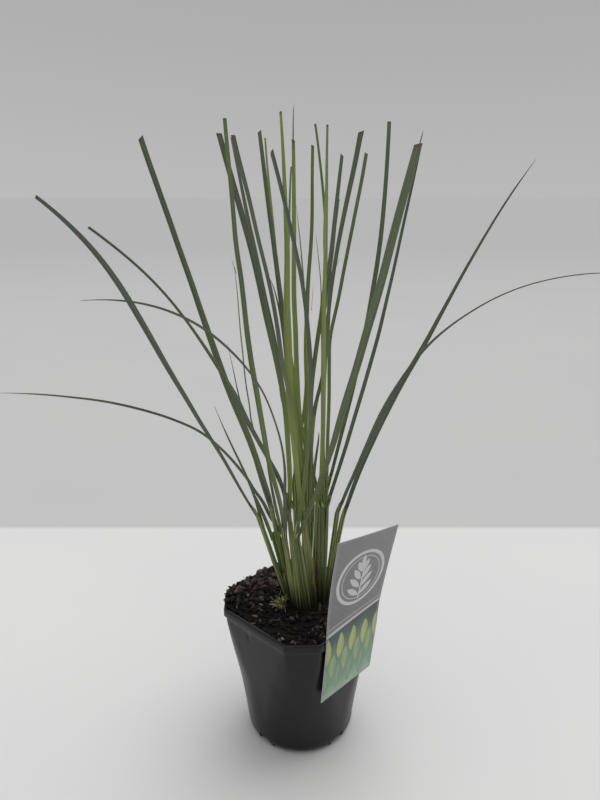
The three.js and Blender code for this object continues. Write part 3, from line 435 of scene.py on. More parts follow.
class Shape:
    """Points in millimetres, faces, and named numbers that the materials read at each point"""

    def __init__(self):
        self.points = []
        self.faces = []
        self.values = {}
        self.count = 0

    def add(self, points, faces, **values):
        points = np.asarray(points, float).reshape(-1, 3)
        self.faces += [[self.count + corner for corner in face] for face in faces]
        self.points.append(points)
        for name, value in values.items():
            spread = np.broadcast_to(np.ravel(value), len(points))
            self.values.setdefault(name, []).append(spread)
        self.count += len(points)

    def loft(self, rings, **values):
        """Closed rings of equally many points, joined one to the next, with a face on each end"""
        rings = np.asarray(rings, float)
        levels, sides = rings.shape[:2]
        last = (levels - 1) * sides
        faces = []
        for low in range(0, last, sides):
            high = low + sides
            for side in range(sides):
                after = (side + 1) % sides
                faces.append([low + side, low + after, high + after, high + side])
        faces.append(list(range(sides))[::-1])
        faces.append(list(range(last, last + sides)))
        self.add(rings, faces, **values)

    def sheet(self, middle, thickness, **values):
        """A closed strip around a grid of middle points, with a thickness at each of them"""
        size = middle.shape[:2]
        normal = np.cross(np.gradient(middle, axis=1), np.gradient(middle, axis=0))
        normal /= np.maximum(np.linalg.norm(normal, axis=2, keepdims=True), TINY)
        half = normal * np.broadcast_to(thickness, size)[..., None] / 2
        rings = np.concatenate([middle + half, (middle - half)[:, ::-1]], axis=1)
        for name, value in values.items():
            grid = np.broadcast_to(value, size)
            values[name] = np.concatenate([grid, grid[:, ::-1]], axis=1)
        self.loft(rings, **values)

    def build(self, name, material, node=None, slot=None, sharp=None):
        """The mesh as a piece on the root body, which may stand for a node of the model"""
        mesh = bpy.data.meshes.new(name)
        mesh.from_pydata((np.concatenate(self.points) * MM).tolist(), [], self.faces)
        for key, parts in self.values.items():
            layer = mesh.attributes.new(key, "FLOAT", "POINT")
            layer.data.foreach_set("value", np.concatenate(parts).astype(np.float32))
        solid = bmesh.new()
        solid.from_mesh(mesh)
        bmesh.ops.recalc_face_normals(solid, faces=solid.faces)
        solid.to_mesh(mesh)
        solid.free()
        mesh.shade_smooth()
        if sharp:
            mesh.set_sharp_from_angle(angle=math.radians(sharp))
        mesh.materials.append(material)
        piece = bpy.data.objects.new(name, mesh)
        bpy.context.scene.collection.objects.link(piece)
        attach(piece, "root")
        if node:
            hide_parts(node)
        return piece


def srgb(red, green, blue):
    """A colour from its values of 0 to 255 on screen"""
    channels = [value / 255 for value in (red, green, blue)]
    return (*[c / 12.92 if c < 0.04045 else ((c + 0.055) / 1.055) ** 2.4 for c in channels], 1.0)


def add_node(tree, kind, sockets, **settings):
    """A shader node whose sockets take terms, other nodes' sockets or plain values"""
    node = tree.nodes.new("ShaderNode" + kind)
    for name, value in settings.items():
        setattr(node, name, value)
    for key, item in sockets.items():
        if isinstance(item, Term):
            item = item.socket
        if isinstance(item, bpy.types.NodeSocket):
            tree.links.new(item, node.inputs[key])
        else:
            node.inputs[key].default_value = item
    return node


def operation(name):
    """A method that puts a term, and what it's combined with, into a Math node"""
    return lambda term, *others: term.math(name, term, *others)


class Term:
    """A number in a material's nodes, so that sums are written plainly"""

    def __init__(self, socket):
        self.socket = socket

    def math(self, name, *terms):
        sockets = dict(enumerate(terms))
        return Term(add_node(self.socket.id_data, "Math", sockets, operation=name).outputs[0])

    def __rsub__(self, other):
        return self.math("SUBTRACT", other, self)

    def step(self, low, high, from_value=0.0, to_value=1.0):
        """A smooth step from one value to the other, between two levels of this number"""
        levels = {"From Min": low, "From Max": high, "To Min": from_value, "To Max": to_value}
        node = add_node(self.socket.id_data, "MapRange", {"Value": self, **levels},
                        interpolation_type="SMOOTHSTEP")
        return Term(node.outputs["Result"])

    __add__ = __radd__ = operation("ADD")
    __sub__ = operation("SUBTRACT")
    __mul__ = __rmul__ = operation("MULTIPLY")
    __truediv__ = operation("DIVIDE")
    abs = operation("ABSOLUTE")
    sin = operation("SINE")
    root = operation("SQRT")
    most = operation("MAXIMUM")
    wrap = operation("WRAP")


def split(vector):
    """The three numbers of a vector"""
    return [Term(socket) for socket in add_node(vector.id_data, "SeparateXYZ", {0: vector}).outputs]


class Paint:
    """A material and short calls for its nodes"""

    def __init__(self, name, roughness, specular=0.5):
        self.material = bpy.data.materials.new(name)
        self.material.use_nodes = True
        self.tree = self.material.node_tree
        self.shader = self.tree.nodes["Principled BSDF"]
        self.shader.inputs["Roughness"].default_value = roughness
        self.shader.inputs["Specular IOR Level"].default_value = specular

    def value(self, name):
        node = add_node(self.tree, "Attribute", {}, attribute_name=name)
        return Term(node.outputs["Fac"])

    def place(self):
        """The place on the object, in metres"""
        return add_node(self.tree, "TexCoord", {}).outputs["Object"]

    def vector(self, *terms):
        return add_node(self.tree, "CombineXYZ", dict(enumerate(terms))).outputs[0]

    def noise(self, vector, scale, detail=2.0, roughness=0.5):
        sockets = {"Vector": vector, "Scale": scale, "Detail": detail, "Roughness": roughness}
        return Term(add_node(self.tree, "TexNoise", sockets).outputs["Fac"])

    def cells(self, vector, scale):
        node = add_node(self.tree, "TexVoronoi", {"Vector": vector, "Scale": scale})
        return Term(node.outputs["Distance"])

    def ramp(self, term, *stops):
        node = add_node(self.tree, "ValToRGB", {"Fac": term})
        colours = node.color_ramp.elements
        while len(colours) < len(stops):
            colours.new(1.0)
        for element, (place, colour) in zip(colours, stops):
            element.position = place
            element.color = srgb(*colour)
        return node.outputs["Color"]

    def mix(self, share, first, second):
        """The first colour with a share of the second laid over it"""
        colours = [colour if isinstance(colour, bpy.types.NodeSocket) else srgb(*colour)
                   for colour in (first, second)]
        sockets = dict(zip(MIX_INPUTS, (share, *colours)))
        return add_node(self.tree, "Mix", sockets, data_type="RGBA").outputs[MIX_OUTPUT]

    def surface(self, colour, roughness=None, relief=None, depth=0.0, strength=1.0):
        """Links the shader and returns the material. Relief from 0 to 1 has a depth in metres."""
        self.tree.links.new(colour, self.shader.inputs["Base Color"])
        if roughness:
            self.tree.links.new(roughness.socket, self.shader.inputs["Roughness"])
        if relief:
            sockets = {"Distance": depth, "Strength": strength, "Height": relief}
            normal = add_node(self.tree, "Bump", sockets).outputs["Normal"]
            self.tree.links.new(normal, self.shader.inputs["Normal"])
        return self.material


# Materials

def leaf_paint():
    """Grass leaf: green by tone with veins and streaks, a pale olive sheath, browned cuts, and
    painted shade at the foot of the stems
    """
    paint = Paint("leaf", 0.42, specular=0.45)
    along, across = paint.value("along"), paint.value("across")
    seed = paint.value("seed") * 40
    streaks = paint.noise(paint.vector(across * 4.5, along * 0.01, seed), 1.0, 3.0)
    streaks = streaks.step(0.32, 0.68)
    patches = paint.noise(paint.vector(across * 0.8, along * 0.016, seed + 9), 1.0, 2.0)
    patches = patches.step(0.3, 0.7)
    veins = (across * 31).sin()
    blade = paint.ramp(
        paint.value("tone") + (streaks - 0.5) * 0.26 + (patches - 0.5) * 0.24,
        (0.0, (82, 90, 84)),
        (0.3, (98, 109, 86)),
        (0.6, (116, 132, 77)),
        (1.0, (150, 164, 86)),
    )
    sheath = paint.ramp(
        (streaks - 0.5) * 0.75 + (patches - 0.5) * 0.3 + paint.value("sheath") * 0.8,
        (0.1, (82, 100, 50)),
        (0.45, (126, 140, 74)),
        (0.75, (162, 170, 104)),
        (1.0, (192, 194, 142)),
    )
    colour = paint.mix((along + across.abs() * 1.5).step(-0.8, 1.4), sheath, blade)
    collar = (1 - (along - 0.6).abs().step(0.4, 2.2)) * 0.6
    colour = paint.mix(collar, colour, (186, 188, 140))
    midrib = (1 - across.abs().step(0.03, 0.14)) * along.step(0, 30) * 0.4
    colour = paint.mix(midrib, colour, (146, 158, 112))
    edge = across.abs().step(0.84, 1.0) * along.step(-4, 4, 0.6, 0.32)
    colour = paint.mix(edge, colour, (168, 172, 124))
    colour = paint.mix(veins.step(0.2, 1.0) * 0.16, colour, (34, 44, 30))
    browning = (1 - (paint.value("left") + (streaks - 0.5) * 1.4).step(0.5, 2.6)) * 0.75
    colour = paint.mix(browning, colour, (96, 84, 58))
    # Painted shade: the stems turn near black towards the soil, and further up on the right, under
    # the label
    x = split(paint.place())[0]
    foot_shade = (paint.value("foot") + (streaks - 0.5) * 12) * x.step(0.0, 0.012, 0.032, 0.019)
    colour = paint.mix((1 - foot_shade.step(0, 1)) * 0.94, colour, (26, 25, 20))
    straw = paint.ramp(
        streaks,
        (0.25, (118, 84, 54)),
        (0.6, (160, 126, 86)),
        (0.9, (186, 164, 122)),
    )
    colour = paint.mix(paint.value("dead"), colour, straw)
    return paint.surface(colour, streaks * 0.22 + 0.34, veins * 0.5 + streaks * 0.8, 0.00012, 0.5)


def pot_paint():
    """Thin black moulded plastic with flow marks, scuffs and a little dust"""
    paint = Paint("pot_plastic", 0.4, specular=0.36)
    place = paint.place()
    x, y, z = split(place)
    broad = paint.noise(place, 28, 3.0)
    fine = paint.noise(place, 420, 2.0)
    flow = paint.noise(paint.vector(x * 160, y * 160, z * 9), 1.0, 2.0)
    dust = paint.noise(place, 900, 3.0, 0.7).step(0.62, 0.74) * z.step(0.02, 0.125, 0.15, 0.7)
    spots = (1 - paint.cells(place, 150).step(0.04, 0.075)) * broad.step(0.45, 0.62)
    colour = paint.ramp(broad, (0.3, (10, 12, 12)), (0.7, (17, 20, 19)))
    colour = paint.mix(flow.step(0.5, 0.75) * 0.3, colour, (25, 28, 28))
    colour = paint.mix(dust * 0.5, colour, (104, 92, 80))
    colour = paint.mix(spots * 0.25, colour, (96, 98, 96))
    roughness = broad * 0.14 + fine * 0.08 + dust * 0.25 + 0.2
    return paint.surface(colour, roughness, flow * 0.6 + fine * 0.35, 0.00022, 0.5)


def soil_paint(name, *stops):
    """Peat and bark: its colour runs from crumb to crumb, with fine fibre and pores"""
    paint = Paint(name, 0.9, specular=0.25)
    place = paint.place()
    broad = paint.noise(place, 130, 3.0)
    fine = paint.noise(place, 900, 4.0, 0.65)
    shade = paint.value("tone") + (broad - 0.5) * 0.35 + (fine - 0.5) * 0.3
    colour = paint.mix(fine.step(0.35, 0.7) * 0.35, paint.ramp(shade, *stops), (8, 7, 6))
    return paint.surface(colour, fine * 0.3 + 0.68, fine * 0.8 + broad * 0.4, 0.0006, 0.8)


def fibre_paint():
    paint = Paint("soil_fibre", 0.75)
    shade = paint.value("tone") + (paint.noise(paint.place(), 700, 3.0) - 0.5) * 0.5
    return paint.surface(
        paint.ramp(shade, (0.1, (40, 31, 26)), (0.6, (78, 64, 50)), (1.0, (120, 108, 86))))


def moss_paint():
    """Yellow green leaves with pale points"""
    paint = Paint("moss", 0.6)
    place = paint.place()
    green = paint.ramp(
        paint.value("tone") + (paint.noise(place, 500, 3.0) - 0.5) * 0.5,
        (0.0, (44, 40, 27)),
        (0.35, (98, 96, 48)),
        (0.7, (148, 149, 76)),
        (1.0, (184, 186, 108)),
    )
    colour = paint.mix(paint.value("along").step(0.6, 1.05) * 0.7, green, (206, 204, 168))
    return paint.surface(colour, relief=paint.noise(place, 2600, 2.0), depth=0.0002, strength=0.5)


def stub_paint():
    """Grey straw with streaks along it, darker at its foot"""
    paint = Paint("dry_straw", 0.75)
    x, y, z = split(paint.place())
    streaks = paint.noise(paint.vector(x * 1400, y * 1400, z * 120), 1.0)
    colour = paint.ramp(streaks, (0.3, (64, 60, 47)), (0.7, (112, 106, 88)))
    colour = paint.mix(paint.value("along").step(0.0, 0.5, 0.8, 0.0), colour, (50, 42, 34))
    return paint.surface(colour, relief=streaks, depth=0.0002, strength=0.6)


def inside(distance):
    """1 where a distance is below zero and 0 above it, with a soft edge"""
    return distance.step(-PRINT_BLUR, PRINT_BLUR, 1.0, 0.0)


def pointed_oval(along, beside, length, width):
    """The overlap of two circles, for distances from its middle along it and beside it"""
    radius = (length * length + width * width) / 4 / width
    reach = beside + (radius - width / 2)
    return inside((along * along + reach * reach).root() - radius)


def upper_print(paint, u, v, mottle):
    """Grey with a fine lattice, and a pale sprig in a ring"""
    print_colour = paint.ramp(mottle, (0.3, (110, 110, 111)), (0.7, (124, 124, 125)))
    lattice = [(slope * LATTICE_TURN).sin().abs().step(0.94, 1.0) for slope in (u + v, u - v)]
    print_colour = paint.mix((lattice[0] + lattice[1]) * 0.16, print_colour, (158, 158, 158))
    rise = (v / CARD_LENGTH).step(0.5, 1.0) * 0.5
    print_colour = paint.mix(rise, print_colour, (146, 146, 148))
    from_ring = (u * u + (v - RING_HEIGHT) * (v - RING_HEIGHT)).root()
    rings = [inside((from_ring - radius).abs() - width) for radius, width in RINGS]
    stem = inside((u - ((v - 84) * 0.06).sin() * 1.5).abs() - 0.75) * inside((v - 106).abs() - 20)
    motif = rings[0].most(rings[1]).most(stem)
    for start, height, length, width, degrees in SPRIG_LEAVES:
        sin, cos = math.sin(math.radians(degrees)), math.cos(math.radians(degrees))
        along = (u - start) * sin + (v - height) * cos - length / 2
        beside = ((u - start) * cos - (v - height) * sin).abs()
        motif = motif.most(pointed_oval(along, beside, length, width))
    return paint.mix(motif, print_colour, (214, 214, 215))


def lower_print(paint, u, v):
    """Green that fades downwards, with rows of pointed leaves"""
    haze = paint.noise(paint.vector(u * 0.09, v * 0.03, 0.0), 1.0, 3.0)
    print_colour = paint.ramp(
        v / BORDER_HEIGHT + (haze - 0.5) * 0.3,
        (0.0, (176, 196, 178)),
        (0.25, (128, 160, 132)),
        (0.62, (112, 144, 116)),
        (0.86, (72, 92, 88)),
        (1.0, (44, 56, 58)),
    )
    for height, shift, colour in LEAF_ROWS:
        beside = (u + shift).wrap(LEAF_SPACING / 2, -LEAF_SPACING / 2)
        along = v - height - PRINT_LEAF_LENGTH / 2 - (u * 0.35).sin() * 1.5
        leaf = pointed_oval(along, beside.abs(), PRINT_LEAF_LENGTH, PRINT_LEAF_WIDTH)
        vein = inside(beside.abs() - 0.3) * inside(along.abs() - PRINT_LEAF_LENGTH * 0.36)
        print_colour = paint.mix(leaf, print_colour, colour)
        print_colour = paint.mix(leaf * beside.step(-4, 4) * 0.22, print_colour, (84, 112, 84))
        print_colour = paint.mix(vein * 0.5, print_colour, (222, 226, 190))
    return print_colour


def card_paint():
    """Label: a generic print of a pale sprig in a ring over grey, and leaves over green below"""
    paint = Paint("label_card", 0.32)
    u, v = paint.value("card_u"), paint.value("card_v")
    place = paint.place()
    mottle = paint.noise(place, 60, 3.0)
    upper = upper_print(paint, u, v, mottle)
    border = v - BORDER_HEIGHT - u * 0.12
    dots = ((u * 1.9).sin().abs() * 0.9).step(0.35, 0.6) * inside((border - 5.2).abs() - 0.7)
    upper = paint.mix(dots * 0.8, upper, (206, 206, 208))
    picture = paint.mix(inside(border), upper, lower_print(paint, u, v))
    picture = paint.mix(inside(border.abs() - 1.5), picture, (200, 201, 202))
    margin = inside(29.6 - u.abs()).most(inside(v - 1.4)).most(inside(148.6 - v))
    picture = paint.mix(margin * 0.5, picture, (150, 152, 150))
    colour = paint.mix(paint.value("front"), (206, 208, 208), picture)
    return paint.surface(colour, mottle * 0.12 + 0.26, paint.noise(place, 35, 1.0), 0.0012, 0.35)


# Pot

def wall_radius(degrees, z, offset=0.0):
    """The radius of the pot's outside, a square with rounded corners and a facet on each"""
    rise = clamp((z - WALL_FOOT_Z) / (POT_HEIGHT - RIM_BAND - WALL_FOOT_Z))
    side = lerp(WALL_FOOT_RADIUS, SIDE_REACH, rise) + offset
    corner = lerp(WALL_FOOT_RADIUS, CORNER_REACH, rise) + offset
    rounding = lerp(WALL_FOOT_RADIUS, CORNER_ROUNDING, rise * rise) + offset
    from_corner = math.radians((degrees - POT_TURN + 45) % 90 - 45)
    from_side = math.radians(45) - abs(from_corner)
    centre = side - rounding
    if side * math.tan(from_side) <= centre:
        square = side / math.cos(from_side)
    else:
        along = centre * (math.cos(from_side) + math.sin(from_side))
        left = along * along - 2 * centre * centre + rounding * rounding
        square = along + math.sqrt(max(0.0, left))
    facet = corner / math.cos(from_corner)
    gap = clamp(0.5 + 0.5 * (facet - square) / FACET_SOFTNESS)
    return lerp(facet, square, gap) - FACET_SOFTNESS * gap * (1 - gap)


def round_ring(radius, z, angles):
    return [compass(angle, radius, z) for angle in angles]


def pot_ring(z, offset, angles):
    return [compass(angle, wall_radius(angle, z, offset), z) for angle in angles]


def make_pot():
    """One loft from the hub under the floor, up the outside, over the rim and down the inside"""
    band = POT_HEIGHT - RIM_BAND
    foot = BASE_RADIUS - FOOT_WIDTH
    base = [
        (HUB_RADIUS - 0.8, 0), (HUB_RADIUS, 0.4), (HUB_RADIUS + 0.3, FLOOR_Z),
        (foot - 0.3, FLOOR_Z), (foot, 0.3), (foot + 0.5, 0),
        (BASE_RADIUS - 1.2, 0), (BASE_RADIUS - 0.3, 0.3), (BASE_RADIUS + 1.4, 1.2),
        (BASE_RADIUS + 3.2, 2.8), (BASE_RADIUS + 4.4, 4.8), (BASE_RADIUS + 5.0, 6.6),
    ]
    walls = [(z, 0.0) for z in np.linspace(WALL_FOOT_Z, band - 0.9, POT_LEVELS)]
    walls += [
        (band - 0.3, 0.25), (band, 0.9), (band + 0.3, 1.35), (band + 1, RIM_PROUD),
        (POT_HEIGHT - 1.1, RIM_PROUD), (POT_HEIGHT - 0.4, RIM_PROUD - 0.25),
        (POT_HEIGHT, RIM_PROUD - 0.9), (POT_HEIGHT, -WALL + 0.4), (POT_HEIGHT - 0.4, -WALL),
    ]
    walls += [(z, -WALL) for z in (band, 88, 62, 36, WALL_FOOT_Z)]
    angles = [360 * sector / POT_SECTORS for sector in range(POT_SECTORS)]
    rings = [round_ring(radius, z, angles) for radius, z in base]
    rings += [pot_ring(z, offset, angles) for z, offset in walls]
    rings.append(round_ring(BASE_RADIUS - WALL, FLOOR_Z + FLOOR_THICKNESS, angles))
    rings = np.array(rings)
    press_dents(rings)
    shape = Shape()
    shape.loft(rings)
    pot = shape.build("pot_shell", pot_paint(), "pot", "pot_plastic", POT_SHARP)
    cut_notches(pot)


def press_dents(rings):
    """Handling dents, a slight bow of each side, and the small stacking recesses under the rim"""
    for point in rings.reshape(-1, 3):
        z = point[2]
        if not DENTS_FROM_Z <= z <= POT_HEIGHT - 1:
            continue
        reach = math.hypot(point[0], point[1])
        angle = math.degrees(math.atan2(point[0], -point[1]))
        shift = relief(point, WALL_WAVES)
        for middle, height, width, tall, depth in DENTS:
            away = (angle - middle + 180) % 360 - 180
            shift -= depth * math.exp(-((away / width) ** 2) - ((z - height) / tall) ** 2)
        point[:2] *= (reach + shift) / reach


def cut_notches(pot):
    """Cuts the four drainage notches and joins the lugs beside them, by a Boolean for each kind"""
    cutters, lugs = Shape(), Shape()
    for side in range(4):
        middle = POT_TURN + 45 + 90 * side
        rings = []
        for z, share in NOTCH_OUTLINE:
            steps = np.linspace(-1, 1, 9) * share * NOTCH_HALF_ANGLE
            outer = [compass(middle + step, WALL_FOOT_RADIUS + CUTTER_PROUD, z) for step in steps]
            inner = [compass(middle + step, BASE_RADIUS - NOTCH_DEPTH, z) for step in steps[::-1]]
            rings.append(outer + inner)
        cutters.loft(rings)
        for edge in (-1, 1):
            angle = middle + edge * (NOTCH_HALF_ANGLE + LUG_BESIDE_NOTCH)
            rings = []
            for z, share in LUG_OUTLINE:
                place = compass(angle, BASE_RADIUS + LUG_REACH, z)
                rings.append([place + compass(360 * step / LUG_SIDES, LUG_RADIUS * share)
                              for step in range(LUG_SIDES)])
            lugs.loft(rings)
    for shape, kind in ((cutters, "DIFFERENCE"), (lugs, "UNION")):
        tool = shape.build("tool", pot.data.materials[0])
        cut = pot.modifiers.new("cut", "BOOLEAN")
        cut.operation = kind
        cut.solver = "EXACT"
        cut.object = tool
        bpy.context.view_layer.update()
        result = pot.evaluated_get(bpy.context.evaluated_depsgraph_get())
        made = bpy.data.meshes.new_from_object(result)
        pot.modifiers.clear()
        pot.data = made
        bpy.data.objects.remove(tool)
    pot.data.shade_smooth()
    pot.data.set_sharp_from_angle(angle=math.radians(POT_SHARP))


# Soil

def soil_height(x, y):
    """The soil's height: raised at the back and at the left, and a little lower in front"""
    height = SOIL_SIDE_TOP + 1
    for rise, to_x, to_y, spread in SOIL_RISES:
        height += rise * math.exp(-((x - to_x) ** 2 + (y - to_y) ** 2) / spread)
    return height


def rim_cover(degrees):
    """From 0 to 1, how far the heap covers the rim at an angle"""
    away = abs((degrees - HEAP_ANGLE + 180) % 360 - 180)
    return 1 - smoothstep(away, HEAP_HALF_ANGLE, HEAP_HALF_ANGLE + HEAP_FADE)


def edge_point(degrees, inner, heaped):
    """A point of the soil's edge: it first rises above the rim and then spreads over it"""
    cover = rim_cover(degrees)
    offset = lerp(inner[1], heaped[1], max(0.0, 2 * cover - 1))
    height = lerp(inner[0], heaped[0], min(1.0, 2 * cover))
    return compass(degrees, wall_radius(degrees, POT_HEIGHT, offset), height)


def soil_surface(degrees, share):
    """A point of the soil's top, at a share of the way from the middle to the edge"""
    over = POT_HEIGHT + HEAP_CLEARANCE + HEAP_OVER_RIM
    edge = edge_point(degrees, (SOIL_SIDE_TOP, SOIL_INSET - 0.5), (over, 0.0))
    point = edge * share
    lumps = relief(point * [1, 1, 0], SOIL_WAVES)
    inward = smoothstep(1 - share, 0.0, SOIL_EDGE_SHARE)
    height = lerp(edge[2], soil_height(point[0], point[1]), inward)
    point[2] = height + lumps * lerp(SOIL_EDGE_LUMPS, 1.0, inward)
    return point


def make_soil():
    angles = [360 * sector / SOIL_SECTORS for sector in range(SOIL_SECTORS)]
    over = POT_HEIGHT + HEAP_CLEARANCE
    rings = [round_ring(BASE_RADIUS - NOTCH_DEPTH - 1, z, angles)
             for z in (FLOOR_Z + FLOOR_THICKNESS + SOIL_OVER_FLOOR, NOTCH_HEIGHT + 1)]
    rings += [pot_ring(z, SOIL_INSET, angles)
              for z in (NOTCH_HEIGHT + 2, 62, POT_HEIGHT - RIM_BAND)]
    for below, inset, above, spread in ((0.6, 0, 0, SOIL_INSET), (0.3, 0.2, 0.2, RIM_PROUD - 0.4)):
        inner = (SOIL_SIDE_TOP - below, SOIL_INSET - inset)
        rings.append([edge_point(angle, inner, (over + above, spread)) for angle in angles])
    for step in range(SOIL_RINGS):
        share = (1 - step / SOIL_RINGS) ** SOIL_RING_POWER
        rings.append([soil_surface(angle, share) for angle in angles])
    tones = [0.32 + 0.25 * wobble(point, 5, 4) for ring in rings for point in ring]
    shape = Shape()
    shape.loft(rings, tone=tones)
    paint = soil_paint("peat_and_bark", (0.0, (9, 8, 7)), (0.4, (19, 15, 14)),
                       (0.75, (36, 27, 25)), (1.0, (60, 46, 41)))
    shape.build("soil_bed", paint, "soil", "peat_and_bark")
    return paint


def turned(points, *angles):
    """Points turned about the three axes, by angles in radians"""
    return np.array(points) @ np.array(Euler(angles).to_matrix()).T


def lump(size, rng):
    """An irregular crumb: a round mesh that is squeezed, dented and turned at random"""
    mesh = bmesh.new()
    bmesh.ops.create_icosphere(mesh, subdivisions=1, radius=1.0)
    seed = rng.uniform(0, 90)
    points = []
    for vertex in mesh.verts:
        point = np.array(vertex.co)
        dent = 1 + 0.38 * wobble(point, 0.9, seed) + 0.22 * wobble(point, 0.4, seed + 5)
        points.append(point * dent * size / 2)
    faces = [[vertex.index for vertex in face.verts] for face in mesh.faces]
    mesh.free()
    return turned(points, *[rng.uniform(0, ANY_TURN) for _ in range(3)]), faces


def near_stem(place, margin):
    """Whether a place on the soil is this near to a stem, or nearer"""
    return any(math.hypot(place[0] - lerp(foot[0], top[0], STEM_SHARE),
                          place[1] - lerp(foot[1], top[1], STEM_SHARE)) < STEM_ROOM + margin
               for foot, top, *_ in STEMS)


def scatter(rng, low, high):
    """A random place on the soil, as its compass angle and its share of the way to the edge"""
    return rng.uniform(0, 360), math.sqrt(rng.uniform(low, high))


def make_crumbs(paint):
    rng = random.Random(SEED)
    shape = Shape()
    while len(shape.points) < CRUMB_COUNT:
        angle, share = scatter(rng, 0.0, 1.0)
        size = rng.choice(CRUMB_SIZES) * rng.uniform(0.8, 1.2)
        if share > 0.985 and rim_cover(angle) < 0.9:
            share = 0.975
        place = soil_surface(angle, share)
        if near_stem(place, size / 2):
            continue
        squeeze = [rng.uniform(0.7, 1.4), rng.uniform(0.6, 1.0), rng.uniform(0.55, 0.9)]
        points, faces = lump(size, rng)
        place[2] += size * rng.uniform(-0.05, 0.25)
        tone = rng.choice(CRUMB_TONES) + rng.uniform(-0.08, 0.08)
        shape.add(points * squeeze + place, faces, tone=tone)
    shape.build("soil_crumbs", paint, slot="peat_and_bark", sharp=24)


def add_chip(shape, place, size, rng, lean, block=False):
    """An angular flake or block of bark with narrowed, split ends"""
    sides = rng.randint(6, 9)
    width, thick = size * rng.uniform(0.28, 0.6), size * rng.uniform(0.12, 0.28)
    if block:
        width, thick = size * rng.uniform(0.6, 0.9), size * rng.uniform(0.4, 0.7)
    outline = []
    for step in range(sides):
        turn = 2 * math.pi * (step + rng.uniform(-0.35, 0.35)) / sides
        corner = np.array([math.cos(turn) * size, math.sin(turn) * width, 0])
        outline.append(corner / 2 * rng.uniform(0.72, 1.12))
    rings = []
    for level, scale in CHIP_OUTLINE:
        heights = [(level + 0.3 * rng.uniform(-1, 1)) * thick for _ in outline]
        rings.append([corner * scale + [0, 0, z] for corner, z in zip(outline, heights)])
    rings = turned(rings, rng.gauss(0, lean), rng.gauss(0, lean), rng.uniform(0, ANY_TURN))
    shape.loft(rings + place, tone=rng.choice(CHIP_TONES))


def scatter_chips(shapes, rng):
    """Chips all over the soil, most of them dark"""
    for _ in range(CHIP_COUNT):
        angle, share = scatter(rng, 0.05, 0.95)
        kind = rng.choices(KINDS, BED_SHARES)[0]
        size = rng.uniform(2.6, 7) if kind == DARK else rng.uniform(2.2, 4.2)
        place = soil_surface(angle, share)
        if near_stem(place, size * 0.3) and share < 0.55:
            continue
        place[2] += size * rng.uniform(0.02, 0.2)
        add_chip(shapes[kind], place, size, rng, 0.5)


def heap_chips(shapes, rng):
    """Larger chips and clods on the heap at the back left"""
    for _ in range(HEAP_CHIP_COUNT):
        angle = rng.uniform(HEAP_ANGLE - 46, HEAP_ANGLE + 60)
        share = rng.uniform(0.55, 0.995 if rim_cover(angle) > 0.95 else 0.93)
        kind = rng.choices(KINDS, HEAP_SHARES)[0]
        block = rng.random() < 0.5
        size = rng.uniform(3, 6) if block else rng.uniform(3.5, 8.5)
        place = soil_surface(angle, share)
        if near_stem(place, size * 0.3):
            continue
        place[2] += size * rng.uniform(0.05, 0.3)
        add_chip(shapes[kind], place, size, rng, 0.75, block)
    for _ in range(HEAP_CLOD_COUNT):
        angle = rng.uniform(HEAP_ANGLE - 40, HEAP_ANGLE + 50)
        place = soil_surface(angle, rng.uniform(0.5, 0.97))
        size = rng.uniform(4.5, 9)
        if rim_cover(angle) < 0.95 or near_stem(place, size * 0.5):
            continue
        points, faces = lump(size, rng)
        place[2] += size * rng.uniform(-0.1, 0.2)
        shapes[DARK].add(points * [1, 1, 0.8] + place, faces, tone=rng.choice(CLOD_TONES))


def make_chips():
    """Bark chips: dark ones, and a few reddish or greyed ones"""
    rng = random.Random(SEED + 1)
    shapes = [Shape() for _ in BARKS]
    scatter_chips(shapes, rng)
    heap_chips(shapes, rng)
    for x, y, size, kind in MARKED_CHIPS:
        angle = math.degrees(math.atan2(x, -y))
        reach = wall_radius(angle, POT_HEIGHT, SOIL_INSET - 0.5)
        place = soil_surface(angle, min(0.99, math.hypot(x, y) / reach))
        place[2] += size * 0.3
        add_chip(shapes[kind], place, size, rng, 0.25)
    for shape, (name, *stops) in zip(shapes, BARKS):
        shape.build(name, soil_paint(name, *stops), slot="peat_and_bark", sharp=25)


def circle(across, out, sides):
    """Points round a circle that is spanned by two arms"""
    turns = [2 * math.pi * side / sides for side in range(sides)]
    return np.array([across * math.cos(turn) + out * math.sin(turn) for turn in turns])


def tube(shape, path, radii, sides, **values):
    """A round tube along a path of points"""
    rings = []
    for point, run, radius in zip(path, np.gradient(path, axis=0), radii):
        run = run / np.linalg.norm(run)
        helper = [0, 0, 1.0] if abs(run[2]) < 0.9 else [1.0, 0, 0]
        across = np.cross(run, helper)
        across /= np.linalg.norm(across)
        rings.append(point + radius * circle(across, np.cross(run, across), sides))
    shape.loft(rings, **values)


def make_fibres():
    """Root hairs and straw that lie on the soil"""
    rng = random.Random(SEED + 2)
    shape = Shape()
    for _ in range(FIBRE_COUNT):
        angle, share = scatter(rng, 0.02, 0.9)
        path = [soil_surface(angle, share) + [0, 0, rng.uniform(0.4, 1.4)]]
        heading, length = rng.uniform(0, 360), rng.uniform(4, 15)
        bend, lift = rng.uniform(-70, 70), rng.uniform(-0.5, 1.6)
        for step in range(FIBRE_STEPS):
            t = step / (FIBRE_STEPS - 1)
            rise = lift * math.cos(math.pi * t) * 0.5
            path.append(path[-1] + compass(heading + bend * t, length / FIBRE_STEPS, rise))
        width = rng.uniform(0.1, 0.24)
        radii = [width * (1 - 0.5 * abs(2 * step / FIBRE_STEPS - 1))
                 for step in range(FIBRE_STEPS + 1)]
        tube(shape, path, radii, 5, tone=rng.uniform(0, 1))
    shape.build("soil_fibres", fibre_paint(), slot="peat_and_bark")


# Grass

